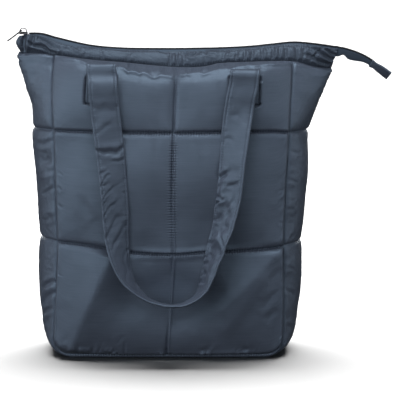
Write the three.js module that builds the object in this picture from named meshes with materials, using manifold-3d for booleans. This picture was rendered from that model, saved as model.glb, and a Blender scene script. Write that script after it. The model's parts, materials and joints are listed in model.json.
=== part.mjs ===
// A padded, quilted shoulder bag with a zipped top, standing on its own base.
// Millimetres. +Z is up, the front faces -Y, +X is to the right as the front is seen.
// The origin is the middle of the base, on the surface that the bag stands on.
import * as THREE from "three";
import { mergeVertices } from "three/addons/utils/BufferGeometryUtils.js";
import Module from "manifold-3d";

const wasm = await Module();
wasm.setup();

// ---------------------------------------------------------------- sizes
const SKIN = 1.2; // half the thickness of the sewn wall at a seam
const PANEL_PUFF = 7; // height of a quilted cell of the front and back above its seams
const SIDE_PUFF = 2.6; // the same on the gusset
const CORNER_R = 20; // rounded bottom corners of the panels
const PANEL_LIFT = 0.485; // the panels' foot, so that their edges stand on the floor with the base
const SQUARE_FROM = 260; // height from which a panel's middle gets squarer
const SQUARE_OVER = 70;
const GUSSET_INSET = 2.6; // the gusset's edge behind the panel's edge
const SEAM_GAP = 0.5; // between the band and the gusset, which it is sewn to
const SHOULDER_GAP = 1.8; // the same over the panels, whose top edge lies nearly flat
const BAND_T = 2.0; // folded cloth of the top band
const TAPE_T = 0.7;
const TAPE_W = 11;
const COIL_W = 4.4;
const COIL_H = 2.6;
const STRAP_W = 34.5;
const STRAP_T = 2.6;
const STRAP_GAP = 0.5;
const CREST = 3; // the strap's highest rest on a panel, below its shoulder

// The body, level by level: where the panels' side seams run, how deep the bag is
// there, how far the gusset reaches, how far the panel's middle stands out of its
// seams, and how sharply the gusset is folded (2 is round, 1 is a crease).
const BODY = [
  { z: 0, seamL: -143, seamR: 131, depth: 48, tipL: -146, tipR: 134, belly: 0, fold: 2.4 },
  { z: 20, seamL: -142.5, seamR: 132.5, depth: 49, tipL: -151, tipR: 143, belly: 7, fold: 2.4 },
  { z: 50, seamL: -140.5, seamR: 133.6, depth: 50, tipL: -155, tipR: 148, belly: 11, fold: 2.4 },
  { z: 90, seamL: -138, seamR: 133.2, depth: 50, tipL: -157.8, tipR: 152, belly: 13, fold: 2.3 },
  { z: 120, seamL: -137, seamR: 132.8, depth: 49.5, tipL: -157.8, tipR: 153.2, belly: 14, fold: 2.2 },
  { z: 141, seamL: -136.4, seamR: 133.2, depth: 49, tipL: -157.2, tipR: 154, belly: 15, fold: 2.2 },
  { z: 165, seamL: -136.8, seamR: 133.8, depth: 48, tipL: -158, tipR: 156.2, belly: 17, fold: 2.1 },
  { z: 205, seamL: -138.2, seamR: 135.2, depth: 46.5, tipL: -160.5, tipR: 159, belly: 18, fold: 2 },
  { z: 240, seamL: -139, seamR: 137.3, depth: 44.5, tipL: -164, tipR: 161.2, belly: 17, fold: 1.8 },
  { z: 272, seamL: -140.2, seamR: 139.2, depth: 42, tipL: -166.8, tipR: 163.2, belly: 16, fold: 1.6 },
  { z: 300, seamL: -141.8, seamR: 140.6, depth: 37, tipL: -168.8, tipR: 174, belly: 18, fold: 1.35 },
  { z: 320, seamL: -142.2, seamR: 141.8, depth: 31, tipL: -176.5, tipR: 183, belly: 21, fold: 1.2 },
  { z: 340, seamL: -141.4, seamR: 142.5, depth: 23, tipL: -182.5, tipR: 190.6, belly: 23, fold: 1.12 },
  { z: 352, seamL: -140.4, seamR: 142.6, depth: 16, tipL: -185, tipR: 192.6, belly: 24, fold: 1.1 },
  { z: 366, seamL: -139.6, seamR: 142.6, depth: 12.5, tipL: -185.8, tipR: 193, belly: 24, fold: 1.1 },
];

// Seams that cross the panels: the two quilting lines, the line where the band
// begins, how far below it the panel's shoulder turns down, and the zip that closes it.
const CROSS = [
  { x: -186, low: 142, high: 276, band: 365.5, drop: 4, zip: 386.6 },
  { x: -158, low: 142.5, high: 275, band: 365.5, drop: 4, zip: 387.2 },
  { x: -138, low: 142, high: 274, band: 362.5, drop: 4.5, zip: 382 },
  { x: -98, low: 138.5, high: 273.4, band: 357.4, drop: 5.5, zip: 373 },
  { x: -60, low: 132, high: 273, band: 354.4, drop: 9.5, zip: 369.6 },
  { x: -20, low: 129.2, high: 272.6, band: 350.6, drop: 12, zip: 369 },
  { x: 10, low: 129, high: 272.4, band: 348.6, drop: 10.5, zip: 369 },
  { x: 36, low: 131, high: 272.8, band: 349.4, drop: 8.5, zip: 369.4 },
  { x: 56, low: 131.4, high: 273.2, band: 353.3, drop: 9.5, zip: 369.8 },
  { x: 92, low: 132.8, high: 273.2, band: 354.9, drop: 6.5, zip: 371.6 },
  { x: 120, low: 135, high: 272.8, band: 355.8, drop: 5, zip: 374.4 },
  { x: 146, low: 137, high: 271.2, band: 355.4, drop: 4.5, zip: 376.8 },
  { x: 172, low: 139, high: 274, band: 349.6, drop: 4, zip: 374.8 },
  { x: 196, low: 140, high: 275, band: 347.4, drop: 4, zip: 371.4 },
];

// The seam down the middle of a panel.
const MIDDLE = [
  { z: 0, x: -7.4 },
  { z: 36, x: -4.6 },
  { z: 97, x: -0.4 },
  { z: 129, x: 1.4 },
  { z: 190, x: 0.6 },
  { z: 272, x: 2.4 },
  { z: 350, x: 5.6 },
];

// Soft folds pressed into the front's padding, as lines from one point to another.
const FOLDS = [
  { x0: -66, z0: 112, x1: -108, z1: 20, width: 13, depth: 3.2 },
  { x0: 112, z0: 118, x1: 62, z1: 58, width: 12, depth: 2.2 },
  { x0: -24, z0: 20, x1: 40, z1: 34, width: 12, depth: 2 },
  { x0: -128, z0: 316, x1: -20, z1: 300, width: 14, depth: 2 },
  { x0: 24, z0: 300, x1: 128, z1: 312, width: 14, depth: 2 },
  { x0: -118, z0: 232, x1: -96, z1: 160, width: 12, depth: 1.8 },
];

// The ends of the band: they bulge past the gusset and lean, part of the way up.
const BAND_END = [
  { rise: 0, left: -182, right: 192 },
  { rise: 0.3, left: -185.4, right: 194 },
  { rise: 0.55, left: -187, right: 196 },
  { rise: 0.8, left: -185.4, right: 198 },
  { rise: 1, left: -183, right: 199 },
];

// The zip's free tail past the band's right end.
const TAIL = [
  { x: 199, z: 371, roll: 0 },
  { x: 207, z: 369.6, roll: 3 },
  { x: 215, z: 367.4, roll: 6 },
  { x: 224, z: 364.2, roll: 10 },
  { x: 233, z: 360, roll: 14 },
  { x: 242, z: 354.6, roll: 18 },
];
const TAB_LENGTH = 25;
const TAB_W = 14;
const TAB_T = 3.6;
const TAB_FLARE = 1.5;
const TAB_TURN = 26; // degrees that the tab leans out of the tail's plane

// The strap, from one sewn end to the other: across, up, how far its near edge
// stands off the panel, and which way its width points (0 and 180 lie flat on the
// panel, 90 stands out of it).
const STRAP = [
  { x: -84.8, z: 307, off: 0, turn: -7 },
  { x: -83.4, z: 330, off: 0.7, turn: -7 },
  { x: -82.6, z: 343, off: 1.4, turn: -6 },
  { x: -82.2, z: 352.2, off: 3.2, turn: -5 },
  { x: -81.8, z: 352.4, off: 7.4, turn: -3 },
  { x: -81, z: 345, off: 9.6, turn: 0 },
  { x: -80, z: 333, off: 8.2, turn: 3 },
  { x: -78, z: 310, off: 5, turn: 6 },
  { x: -74.5, z: 277, off: 2.5, turn: 12 },
  { x: -69.8, z: 236, off: 1.5, turn: 19 },
  { x: -66.2, z: 195, off: 1, turn: 26 },
  { x: -63.4, z: 150, off: 1, turn: 40 },
  { x: -58.5, z: 120, off: 1, turn: 55 },
  { x: -46, z: 95, off: 1, turn: 70 },
  { x: -26, z: 78.5, off: 1, turn: 82 },
  { x: 0, z: 71.5, off: 1, turn: 92 },
  { x: 22, z: 76.5, off: 1, turn: 100 },
  { x: 35, z: 89, off: 1, turn: 108 },
  { x: 43.5, z: 110, off: 1, turn: 118 },
  { x: 51, z: 138, off: 1, turn: 130 },
  { x: 60.5, z: 168, off: 1, turn: 137 },
  { x: 67.4, z: 202, off: 1, turn: 145 },
  { x: 71.6, z: 242, off: 1.5, turn: 154 },
  { x: 75.6, z: 277, off: 2.5, turn: 162 },
  { x: 81, z: 312, off: 5, turn: 170 },
  { x: 84.6, z: 329, off: 8.2, turn: 176 },
  { x: 85.8, z: 339.5, off: 9.6, turn: 180 },
  { x: 86.6, z: 346.4, off: 7.4, turn: 183 },
  { x: 87, z: 346.2, off: 3.2, turn: 185 },
  { x: 87, z: 338, off: 1.4, turn: 186 },
  { x: 86.9, z: 327, off: 0.7, turn: 187 },
  { x: 86.6, z: 307, off: 0, turn: 187 },
];

// The slider at the zip's left end, its arched bail and the pull on it.
const SLIDER = { left: -184, right: -173, base: 386, top: 389, nose: 386.3, chamferX: -180.8, halfW: 4.2, noseHalfW: 3.1 };
const BAIL = { left: -182.6, right: -174.6, spring: 390.2, rise: 3, bar: 1, width: 2 };
const PULL = { x: -180.6, z: 390.45, drop: 36.6, length: 21.6, width: 6, thick: 1.5, barEnd: 0.85, slotEnd: 7.8, slotHalfW: 1.6 };

// ---------------------------------------------------------------- curves
// A smooth curve through one column of a table, along another column.
function curveOf(rows, along, column) {
  const t = rows.map((r) => r[along]);
  const v = rows.map((r) => r[column]);
  const last = t.length - 1;
  const slope = t.map((_, i) => {
    if (i === 0 || i === last) {
      const j = i === 0 ? 0 : last - 1;
      return (v[j + 1] - v[j]) / (t[j + 1] - t[j]);
    }
    return (v[i + 1] - v[i - 1]) / (t[i + 1] - t[i - 1]);
  });
  return (x) => {
    if (x <= t[0]) return v[0];
    if (x >= t[last]) return v[last];
    let i = 0;
    while (x > t[i + 1]) i++;
    const h = t[i + 1] - t[i];
    const s = (x - t[i]) / h;
    const s2 = s * s;
    const s3 = s2 * s;
    return (
      (2 * s3 - 3 * s2 + 1) * v[i] +
      (s3 - 2 * s2 + s) * h * slope[i] +
      (3 * s2 - 2 * s3) * v[i + 1] +
      (s3 - s2) * h * slope[i + 1]
    );
  };
}
const body = {};
for (const column of ["seamL", "seamR", "depth", "tipL", "tipR", "belly", "fold"]) body[column] = curveOf(BODY, "z", column);
const cross = {};
for (const column of ["low", "high", "band", "drop", "zip"]) cross[column] = curveOf(CROSS, "x", column);
const middleX = curveOf(MIDDLE, "z", "x");
const lerp = (a, b, t) => a + (b - a) * t;
const vec = (x, y, z) => new THREE.Vector3(x, y, z);

// ---------------------------------------------------------------- meshes
// A closed geometry from faces that share vertices.
function geometryOf(points, faces) {
  const g = new THREE.BufferGeometry();
  g.setAttribute("position", new THREE.Float32BufferAttribute(points.flatMap((p) => [p.x, p.y, p.z]), 3));
  g.setIndex(faces);
  g.computeVertexNormals();
  return g;
}

// A wall: grid[i][j] are points of its middle surface, outside(i, j) and inside(i, j)
// are how far its faces stand off it along its normal. flip turns the normal round.
function wall(grid, outside, inside, flip) {
  const n = grid.length;
  const m = grid[0].length;
  const at = (i, j) => grid[Math.min(Math.max(i, 0), n - 1)][Math.min(Math.max(j, 0), m - 1)];
  const points = [];
  for (const side of [0, 1])
    for (let i = 0; i < n; i++)
      for (let j = 0; j < m; j++) {
        const du = at(i + 1, j).clone().sub(at(i - 1, j));
        const dv = at(i, j + 1).clone().sub(at(i, j - 1));
        const normal = du.cross(dv).normalize().multiplyScalar(flip ? -1 : 1);
        points.push(at(i, j).clone().addScaledVector(normal, side ? -inside(i, j) : outside(i, j)));
      }
  const id = (side, i, j) => side * n * m + i * m + j;
  const faces = [];
  const quad = (a, b, c, d) => (flip ? faces.push(a, c, b, a, d, c) : faces.push(a, b, c, a, c, d));
  for (let i = 0; i + 1 < n; i++)
    for (let j = 0; j + 1 < m; j++) {
      quad(id(0, i, j), id(0, i + 1, j), id(0, i + 1, j + 1), id(0, i, j + 1));
      quad(id(1, i, j), id(1, i, j + 1), id(1, i + 1, j + 1), id(1, i + 1, j));
    }
  for (let i = 0; i + 1 < n; i++) {
    quad(id(0, i, 0), id(1, i, 0), id(1, i + 1, 0), id(0, i + 1, 0));
    quad(id(0, i + 1, m - 1), id(1, i + 1, m - 1), id(1, i, m - 1), id(0, i, m - 1));
  }
  for (let j = 0; j + 1 < m; j++) {
    quad(id(0, 0, j + 1), id(1, 0, j + 1), id(1, 0, j), id(0, 0, j));
    quad(id(0, n - 1, j), id(1, n - 1, j), id(1, n - 1, j + 1), id(0, n - 1, j + 1));
  }
  return geometryOf(points, faces);
}

// A solid swept through rings of points, closed at both ends.
function loft(rings) {
  const k = rings[0].length;
  const faces = [];
  for (let i = 0; i + 1 < rings.length; i++)
    for (let j = 0; j < k; j++) {
      const a = i * k + j;
      const b = i * k + ((j + 1) % k);
      faces.push(a, b, b + k, a, b + k, a + k);
    }
  const end = (rings.length - 1) * k;
  for (let j = 1; j + 1 < k; j++) {
    faces.push(0, j + 1, j);
    faces.push(end, end + j, end + j + 1);
  }
  const g = geometryOf(rings.flat(), faces);
  return volumeOf(g) < 0 ? turned(g) : g;
}
function volumeOf(g) {
  const p = g.getAttribute("position");
  const ix = g.index.array;
  const a = vec(0, 0, 0);
  const b = vec(0, 0, 0);
  const c = vec(0, 0, 0);
  let total = 0;
  for (let i = 0; i < ix.length; i += 3) {
    a.fromBufferAttribute(p, ix[i]);
    b.fromBufferAttribute(p, ix[i + 1]);
    c.fromBufferAttribute(p, ix[i + 2]);
    total += a.dot(b.cross(c)) / 6;
  }
  return total;
}
function turned(g) {
  const ix = Array.from(g.index.array);
  for (let i = 0; i < ix.length; i += 3) [ix[i + 1], ix[i + 2]] = [ix[i + 2], ix[i + 1]];
  return g.clone().setIndex(ix);
}

// Joins closed geometries into one solid.
function joined(...geometries) {
  const solids = geometries.map((g) => {
    const bare = g.clone();
    for (const name of ["normal", "uv"]) bare.deleteAttribute(name);
    const merged = mergeVertices(bare, 1e-4);
    return new wasm.Manifold(
      new wasm.Mesh({
        numProp: 3,
        vertProperties: new Float32Array(merged.getAttribute("position").array),
        triVerts: new Uint32Array(merged.index.array),
      }),
    );
  });
  const made = solids.reduce((a, b) => a.add(b)).getMesh();
  const g = new THREE.BufferGeometry();
  g.setAttribute("position", new THREE.BufferAttribute(new Float32Array(made.vertProperties), 3));
  g.setIndex(new THREE.BufferAttribute(new Uint32Array(made.triVerts), 1));
  g.computeVertexNormals();
  return g;
}

// ---------------------------------------------------------------- materials
const material = (name, color, roughness, metalness) => new THREE.MeshStandardMaterial({ name, color, roughness, metalness });
const nylon = material("quilted_nylon", 0x4a5868, 0.5, 0);
const webbing = material("strap_nylon", 0x4f5d6d, 0.5, 0);
const tapeCloth = material("zip_tape", 0x3b4757, 0.75, 0);
const coilPlastic = material("zip_coil", 0x23262e, 0.45, 0);
const darkMetal = material("zip_metal", 0x4c4d50, 0.3, 1);

const bag = new THREE.Group();
bag.name = "shoulder_bag";
function add(name, geometry, look) {
  const mesh = new THREE.Mesh(geometry, look);
  mesh.name = name;
  bag.add(mesh);
  return mesh;
}

// ---------------------------------------------------------------- panels
// Shares of a quilted cell where its wall is divided, closer at its seams.
const CELL_ACROSS = [0, 0.05, 0.13, 0.28, 0.5, 0.72, 0.87, 0.95];
const CELL_UP = [0, 0.05, 0.16, 0.36, 0.6, 0.8, 0.9, 0.965];
const swell = (s) => 1 - Math.abs(2 * s - 1) ** 3;

// The depth of a panel's middle surface from the bag's middle plane.
function panelDepth(x, z) {
  const l = body.seamL(z);
  const r = body.seamR(z);
  const u = Math.min(1, Math.abs((2 * x - l - r) / (r - l)));
  // Upward the panel's middle gets squarer, and at the top it turns in to the band.
  const square = 2 + 2 * Math.min(1, Math.max(0, (z - SQUARE_FROM) / SQUARE_OVER));
  const t = Math.min(1, Math.max(0, (cross.band(x) - SHOULDER_GAP - z) / cross.drop(x)));
  return body.depth(z) + body.belly(z) * (1 - u ** square) * (1.5 * t - 0.5 * t ** 3);
}
// The lowest point of a panel above the base at x, round its bottom corners.
function panelFoot(x) {
  const l = body.seamL(CORNER_R) + CORNER_R;
  const r = body.seamR(CORNER_R) - CORNER_R;
  const past = Math.min(CORNER_R, Math.max(0, l - x, x - r));
  return PANEL_LIFT + CORNER_R - Math.sqrt(CORNER_R ** 2 - past ** 2);
}
// A point of the panel: a is 0 to 2 across its two cells, b is 0 to 3 up its three.
function panelPoint(a, b, side) {
  const across = (z) => (a <= 1 ? lerp(body.seamL(z), middleX(z), a) : lerp(middleX(z), body.seamR(z), a - 1));
  const level = Math.min(2, Math.floor(b));
  const guess = [30, 200, 320][level];
  const x0 = across(guess);
  const foot = panelFoot(level === 0 ? across(CORNER_R) : x0);
  const lines = [foot, cross.low(x0), cross.high(x0), cross.band(x0) - SHOULDER_GAP];
  const z = lerp(lines[level], lines[level + 1], b - level);
  const x = across(Math.max(z, CORNER_R));
  return vec(x, side * panelDepth(x, z), z);
}
const panelPuff = (a, b) => PANEL_PUFF * swell(a - Math.min(1, Math.floor(a))) * swell(b - Math.min(2, Math.floor(b)));
// How deep the folds are at a point of the front.
function foldDepth(x, z) {
  let depth = 0;
  for (const f of FOLDS) {
    const dx = f.x1 - f.x0;
    const dz = f.z1 - f.z0;
    const t = Math.min(1, Math.max(0, ((x - f.x0) * dx + (z - f.z0) * dz) / (dx * dx + dz * dz)));
    const far = Math.hypot(x - f.x0 - t * dx, z - f.z0 - t * dz) / f.width;
    depth += f.depth * Math.exp(-far * far);
  }
  return depth;
}
const STEPS_A = [0, 1].flatMap((c) => CELL_ACROSS.map((s) => c + s)).concat(2);
const STEPS_B = [0, 1, 2].flatMap((c) => CELL_UP.map((s) => c + s)).concat(3);
function panel(side) {
  const grid = STEPS_A.map((a) => STEPS_B.map((b) => panelPoint(a, b, side)));
  const puff = (i, j) => {
    const share = panelPuff(STEPS_A[i], STEPS_B[j]) / PANEL_PUFF;
    return share * (PANEL_PUFF - (side < 0 ? foldDepth(grid[i][j].x, grid[i][j].z) : 0));
  };
  return wall(grid, (i, j) => SKIN + puff(i, j), () => SKIN, side > 0);
}
add("front_panel", panel(-1), nylon);
add("back_panel", panel(1), nylon);

// ---------------------------------------------------------------- gusset
// One padded strip down the left side, across the base and up the right side.
const CORNER_STEPS = [0.2, 0.4, 0.6, 0.8];
const BASE_STEPS = [0, 0.2, 0.4, 0.6, 0.8, 1];
const WING_L = -150; // where the height of a side's top edge is taken
const WING_R = 155;
const ACROSS = [-1, -0.82, -0.56, -0.27, 0, 0.27, 0.56, 0.82, 1];
function gussetStations() {
  const stations = [];
  // A side has three cells, like the panels, and its rows start at the top.
  const sideRows = (side) => {
    const seam = side < 0 ? body.seamL : body.seamR;
    const tip = side < 0 ? body.tipL : body.tipR;
    const x = side < 0 ? WING_L : WING_R;
    const lines = [CORNER_R + SKIN, cross.low(x), cross.high(x), cross.band(x) - SEAM_GAP];
    const rows = [];
    for (let b = 0; b < 3; b++)
      for (const s of b < 2 ? CELL_UP : [...CELL_UP, 1]) {
        const puff = b === 0 ? swell(Math.max(0.5, s)) : swell(s);
        rows.push({ kind: "side", side, seam, tip, puff, z: lerp(lines[b], lines[b + 1], s), near: b === 2 ? s : 0 });
      }
    return rows;
  };
  stations.push(...sideRows(-1).reverse());
  for (const t of CORNER_STEPS) stations.push({ kind: "corner", side: -1, t });
  for (const t of BASE_STEPS) stations.push({ kind: "base", t });
  for (const t of [...CORNER_STEPS].reverse()) stations.push({ kind: "corner", side: 1, t });
  stations.push(...sideRows(1));
  return stations;
}
const footL = body.seamL(CORNER_R) + CORNER_R;
const footR = body.seamR(CORNER_R) - CORNER_R;
function gussetPoint(s, w) {
  if (s.kind === "base") return vec(lerp(footL, footR, s.t), w * (body.depth(0) - GUSSET_INSET), SKIN);
  if (s.kind === "corner") {
    const turn = (s.t * Math.PI) / 2;
    const reach = Math.abs((s.side < 0 ? body.tipL : body.tipR)(CORNER_R) - (s.side < 0 ? body.seamL : body.seamR)(CORNER_R));
    const r = CORNER_R + reach * Math.cos(turn) ** 2 * (1 - Math.abs(w) ** 2.4);
    const x = (s.side < 0 ? footL : footR) + s.side * r * Math.cos(turn);
    return vec(x, w * (body.depth(CORNER_R * (1 - s.t)) - GUSSET_INSET), SKIN + CORNER_R - CORNER_R * Math.sin(turn));
  }
  const seam = s.seam(s.z);
  const reach = s.tip(s.z) - seam;
  const x = seam + reach * (1 - Math.abs(w) ** body.fold(s.z));
  // The top edge follows the band, which dips or climbs towards the bag's end.
  const top = cross.band(x) - cross.band(s.side < 0 ? WING_L : WING_R);
  return vec(x, w * (body.depth(s.z) - GUSSET_INSET), s.z + top * s.near ** 2);
}
{
  const stations = gussetStations();
  const grid = stations.map((s) => ACROSS.map((w) => gussetPoint(s, w)));
  const puff = (i, j) => {
    const s = stations[i];
    const rise = s.kind === "side" ? s.puff : s.kind === "corner" ? Math.cos((s.t * Math.PI) / 2) ** 2 : 0;
    // Where the side is folded into a wing, the crease stays and its two halves swell.
    const creased = s.kind === "side" ? Math.min(1, Math.max(0, (2 - body.fold(s.z)) / 0.8)) : 0;
    const w = Math.abs(ACROSS[j]);
    return SIDE_PUFF * rise * lerp(1 - w ** 3, Math.sin(Math.PI * w), creased);
  };
  add("gusset", wall(grid, (i, j) => SKIN + puff(i, j), () => SKIN, true), nylon);
}

// ---------------------------------------------------------------- top band
const bandEndL = curveOf(BAND_END, "rise", "left");
const bandEndR = curveOf(BAND_END, "rise", "right");
const BAND_ALONG = [0, 0.012, 0.03, 0.055, 0.085, 0.12, 0.155, 0.19, 0.23, 0.27, 0.31, 0.35, 0.39, 0.43, 0.47, 0.51, 0.55, 0.59, 0.63, 0.67, 0.71, 0.75, 0.79, 0.83, 0.865, 0.9, 0.93, 0.955, 0.975, 0.99, 1];
const BAND_UP = [0, 0.3, 0.6, 0.85, 1];
const ZIP_Y = BAND_T / 2 + TAPE_T + 0.55; // middle of the band's top edge, off the zip's middle
// The band's lower edge follows the panel's and the gusset's top edges.
function bandFootY(x) {
  const z = cross.band(x);
  const l = body.seamL(z);
  const r = body.seamR(z);
  if (x >= l && x <= r) return panelDepth(x, z);
  const share = x < l ? (x - l) / (body.tipL(z) - l) : (x - r) / (body.tipR(z) - r);
  return lerp(body.depth(z), ZIP_Y, Math.min(1, share));
}
function bandPoint(t, rise, side) {
  const x = lerp(bandEndL(rise), bandEndR(rise), t);
  const z0 = cross.band(x) + SEAM_GAP;
  const z1 = cross.zip(x) - 2;
  const swellOut = 2.2 * Math.sin(Math.PI * rise) * Math.min(1, t / 0.02, (1 - t) / 0.02);
  return vec(x, side * (lerp(bandFootY(x), ZIP_Y, rise) + swellOut), lerp(z0, z1, rise));
}
function band(side) {
  const grid = BAND_ALONG.map((t) => BAND_UP.map((rise) => bandPoint(t, rise, side)));
  return wall(grid, () => BAND_T / 2, () => BAND_T / 2, side > 0);
}
add("band_front", band(-1), nylon);
add("band_back", band(1), nylon);

// ---------------------------------------------------------------- zip
// Stations along the zip: on the bag the tapes lie inside the band, and on the
// tail they hang together from the coil.
const tailZ = curveOf(TAIL, "x", "z");
const tailRoll = curveOf(TAIL, "x", "roll");
const ZIP_ON_BAG = BAND_ALONG.filter((_, i) => i > 0);
function zipStations() {
  const made = [];
  for (const t of ZIP_ON_BAG) {
    const top = bandPoint(t, 1, -1);
    const foot = bandPoint(t, 0, -1);
    made.push({ x: top.x, z: top.z + 2, lean: Math.atan2(Math.abs(foot.y) - Math.abs(top.y), top.z - foot.z), roll: 0, on: true });
  }
  for (const row of TAIL.slice(1)) made.push({ x: row.x, z: tailZ(row.x), lean: 0, roll: row.roll, on: false });
  return made;
}
const ZIP = zipStations();
const zipTangent = (i) => {
  const a = ZIP[Math.max(0, i - 1)];
  const b = ZIP[Math.min(ZIP.length - 1, i + 1)];
  return vec(b.x - a.x, 0, b.z - a.z).normalize();
};
// The frame of a station: along it, out of the front, and up from the coil.
function zipFrame(i) {
  const along = zipTangent(i);
  const up = vec(-along.z, 0, along.x);
  const turn = THREE.MathUtils.degToRad(ZIP[i].roll);
  const front = vec(0, -1, 0);
  return {
    along,
    up: up.clone().multiplyScalar(Math.cos(turn)).addScaledVector(front, Math.sin(turn)),
    front: front.multiplyScalar(Math.cos(turn)).addScaledVector(up, -Math.sin(turn)),
    at: vec(ZIP[i].x, 0, ZIP[i].z),
  };
}
function tape(side) {
  const rings = ZIP.map((s, i) => {
    const f = zipFrame(i);
    const out = f.front.clone().multiplyScalar(side);
    const lean = s.on ? s.lean : 0;
    const drop = f.up.clone().multiplyScalar(-Math.cos(lean)).addScaledVector(out, Math.sin(lean));
    const face = out.clone().multiplyScalar(Math.cos(lean)).addScaledVector(f.up, Math.sin(lean));
    const top = f.at.clone().addScaledVector(f.up, -2.2 - 1.4 * Math.sin(lean)).addScaledVector(out, 0.2 + TAPE_T / 2);
    const low = top.clone().addScaledVector(drop, TAPE_W);
    const start = top.clone().addScaledVector(drop, 0.2);
    const h = TAPE_T / 2;
    return [
      start.clone().addScaledVector(face, h),
      low.clone().addScaledVector(face, h),
      low.clone().addScaledVector(face, -h),
      start.clone().addScaledVector(face, -h),
    ];
  });
  return loft(rings);
}
add("zip_tape_front", tape(1), tapeCloth);
add("zip_tape_back", tape(-1), tapeCloth);
{
  const first = ZIP.findIndex((s) => s.x > SLIDER.right + 0.6);
  const rings = ZIP.slice(first).map((_, k) => {
    const f = zipFrame(first + k);
    return [
      [-0.5, -0.5],
      [-0.5, 0.1],
      [-0.3, 0.5],
      [0.3, 0.5],
      [0.5, 0.1],
      [0.5, -0.5],
    ].map(([w, h]) => f.at.clone().addScaledVector(f.front, w * COIL_W).addScaledVector(f.up, h * COIL_H - 0.2));
  });
  add("zip_coil", loft(rings), coilPlastic);
}
{
  // A folded cloth tab holds the tail's end.
  const f = zipFrame(ZIP.length - 1);
  const dir = f.along.clone();
  const turn = THREE.MathUtils.degToRad(TAB_TURN);
  const rings = [0, 0.12, 0.5, 0.9, 1].map((s) => {
    const a = turn * s;
    const up = f.up.clone().multiplyScalar(Math.cos(a)).addScaledVector(f.front, Math.sin(a));
    const front = f.front.clone().multiplyScalar(Math.cos(a)).addScaledVector(f.up, -Math.sin(a));
    const middle = f.at
      .clone()
      .addScaledVector(dir, 0.4 + s * TAB_LENGTH)
      .addScaledVector(f.up, -TAPE_W / 2 - 0.8)
      .addScaledVector(vec(0, 0, -1), 2 * s * s);
    const half = TAB_W / 2 + TAB_FLARE * s - (s > 0.95 ? 0.7 : 0);
    const thick = TAB_T / 2 - (s > 0.95 ? 0.7 : 0);
    return [
      [-1, -1],
      [-1, 1],
      [1, 1],
      [1, -1],
    ].map(([w, h]) => middle.clone().addScaledVector(front, w * thick).addScaledVector(up, h * half));
  });
  add("zip_end_tab", loft(rings), nylon);
}
{
  const side = new THREE.Shape();
  side.moveTo(SLIDER.left, SLIDER.base);
  side.lineTo(SLIDER.right, SLIDER.base);
  side.lineTo(SLIDER.right, SLIDER.top - 0.5);
  side.lineTo(SLIDER.right - 0.5, SLIDER.top);
  side.lineTo(SLIDER.chamferX, SLIDER.top);
  side.lineTo(SLIDER.left, SLIDER.nose);
  const plate = new THREE.ExtrudeGeometry(side, { depth: 2 * SLIDER.halfW, bevelEnabled: false, steps: 1 });
  // Shape x, y are the bag's X, Z, and its depth runs along Y.
  plate.rotateX(Math.PI / 2).translate(0, SLIDER.halfW, 0);
  // The nose narrows towards the end of the chain.
  const p = plate.getAttribute("position");
  for (let i = 0; i < p.count; i++) if (p.getX(i) < SLIDER.left + 0.1) p.setY(i, p.getY(i) * (SLIDER.noseHalfW / SLIDER.halfW));
  const mid = (BAIL.left + BAIL.right) / 2;
  const span = (BAIL.right - BAIL.left) / 2;
  const path = [vec(BAIL.left, 0, SLIDER.base + 0.6)];
  const ARCH_STEPS = 10;
  for (let k = 0; k <= ARCH_STEPS; k++) {
    const a = Math.PI * (1 - k / ARCH_STEPS);
    path.push(vec(mid + span * Math.cos(a), 0, BAIL.spring + BAIL.rise * Math.sin(a)));
  }
  path.push(vec(BAIL.right, 0, SLIDER.base + 0.6));
  const rings = path.map((c, i) => {
    const along = path[Math.min(path.length - 1, i + 1)].clone().sub(path[Math.max(0, i - 1)]).normalize();
    const out = vec(-along.z, 0, along.x);
    return [
      [-1, -1],
      [1, -1],
      [1, 1],
      [-1, 1],
    ].map(([w, h]) => c.clone().addScaledVector(out, (h * BAIL.bar) / 2).addScaledVector(vec(0, 1, 0), (w * BAIL.width) / 2));
  });
  add("zip_slider", joined(plate, loft(rings)), darkMetal);
}
{
  // The pull: a flat tab with a slot that the bail passes through.
  const half = PULL.width / 2;
  const outline = new THREE.Shape();
  const tip = PULL.length;
  outline.moveTo(-0.75, -half + 0.9);
  outline.lineTo(-0.75, half - 0.9);
  outline.lineTo(0.2, half);
  outline.lineTo(PULL.slotEnd + 2, half);
  outline.lineTo(PULL.slotEnd + 4, half - 0.7);
  outline.lineTo(tip - 2, half - 0.7);
  outline.lineTo(tip - 0.6, half - 1.2);
  outline.lineTo(tip, half - 2);
  outline.lineTo(tip, -half + 2);
  outline.lineTo(tip - 0.6, -half + 1.2);
  outline.lineTo(tip - 2, -half + 0.7);
  outline.lineTo(PULL.slotEnd + 4, -half + 0.7);
  outline.lineTo(PULL.slotEnd + 2, -half);
  outline.lineTo(0.2, -half);
  const slot = new THREE.Path();
  slot.moveTo(PULL.barEnd, -PULL.slotHalfW);
  slot.lineTo(PULL.slotEnd - 0.6, -PULL.slotHalfW);
  slot.lineTo(PULL.slotEnd, -PULL.slotHalfW + 0.6);
  slot.lineTo(PULL.slotEnd, PULL.slotHalfW - 0.6);
  slot.lineTo(PULL.slotEnd - 0.6, PULL.slotHalfW);
  slot.lineTo(PULL.barEnd, PULL.slotHalfW);
  outline.holes.push(slot);
  const tab = new THREE.ExtrudeGeometry(outline, { depth: PULL.thick, bevelEnabled: false, steps: 1 });
  tab.translate(0, 0, -PULL.thick / 2);
  const pull = add("zip_pull", tab, darkMetal);
  pull.position.set(PULL.x, 0, PULL.z);
  // The tab points left and down from the bail, over the end of the bag.
  pull.rotation.y = Math.PI - THREE.MathUtils.degToRad(PULL.drop);
}

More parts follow.
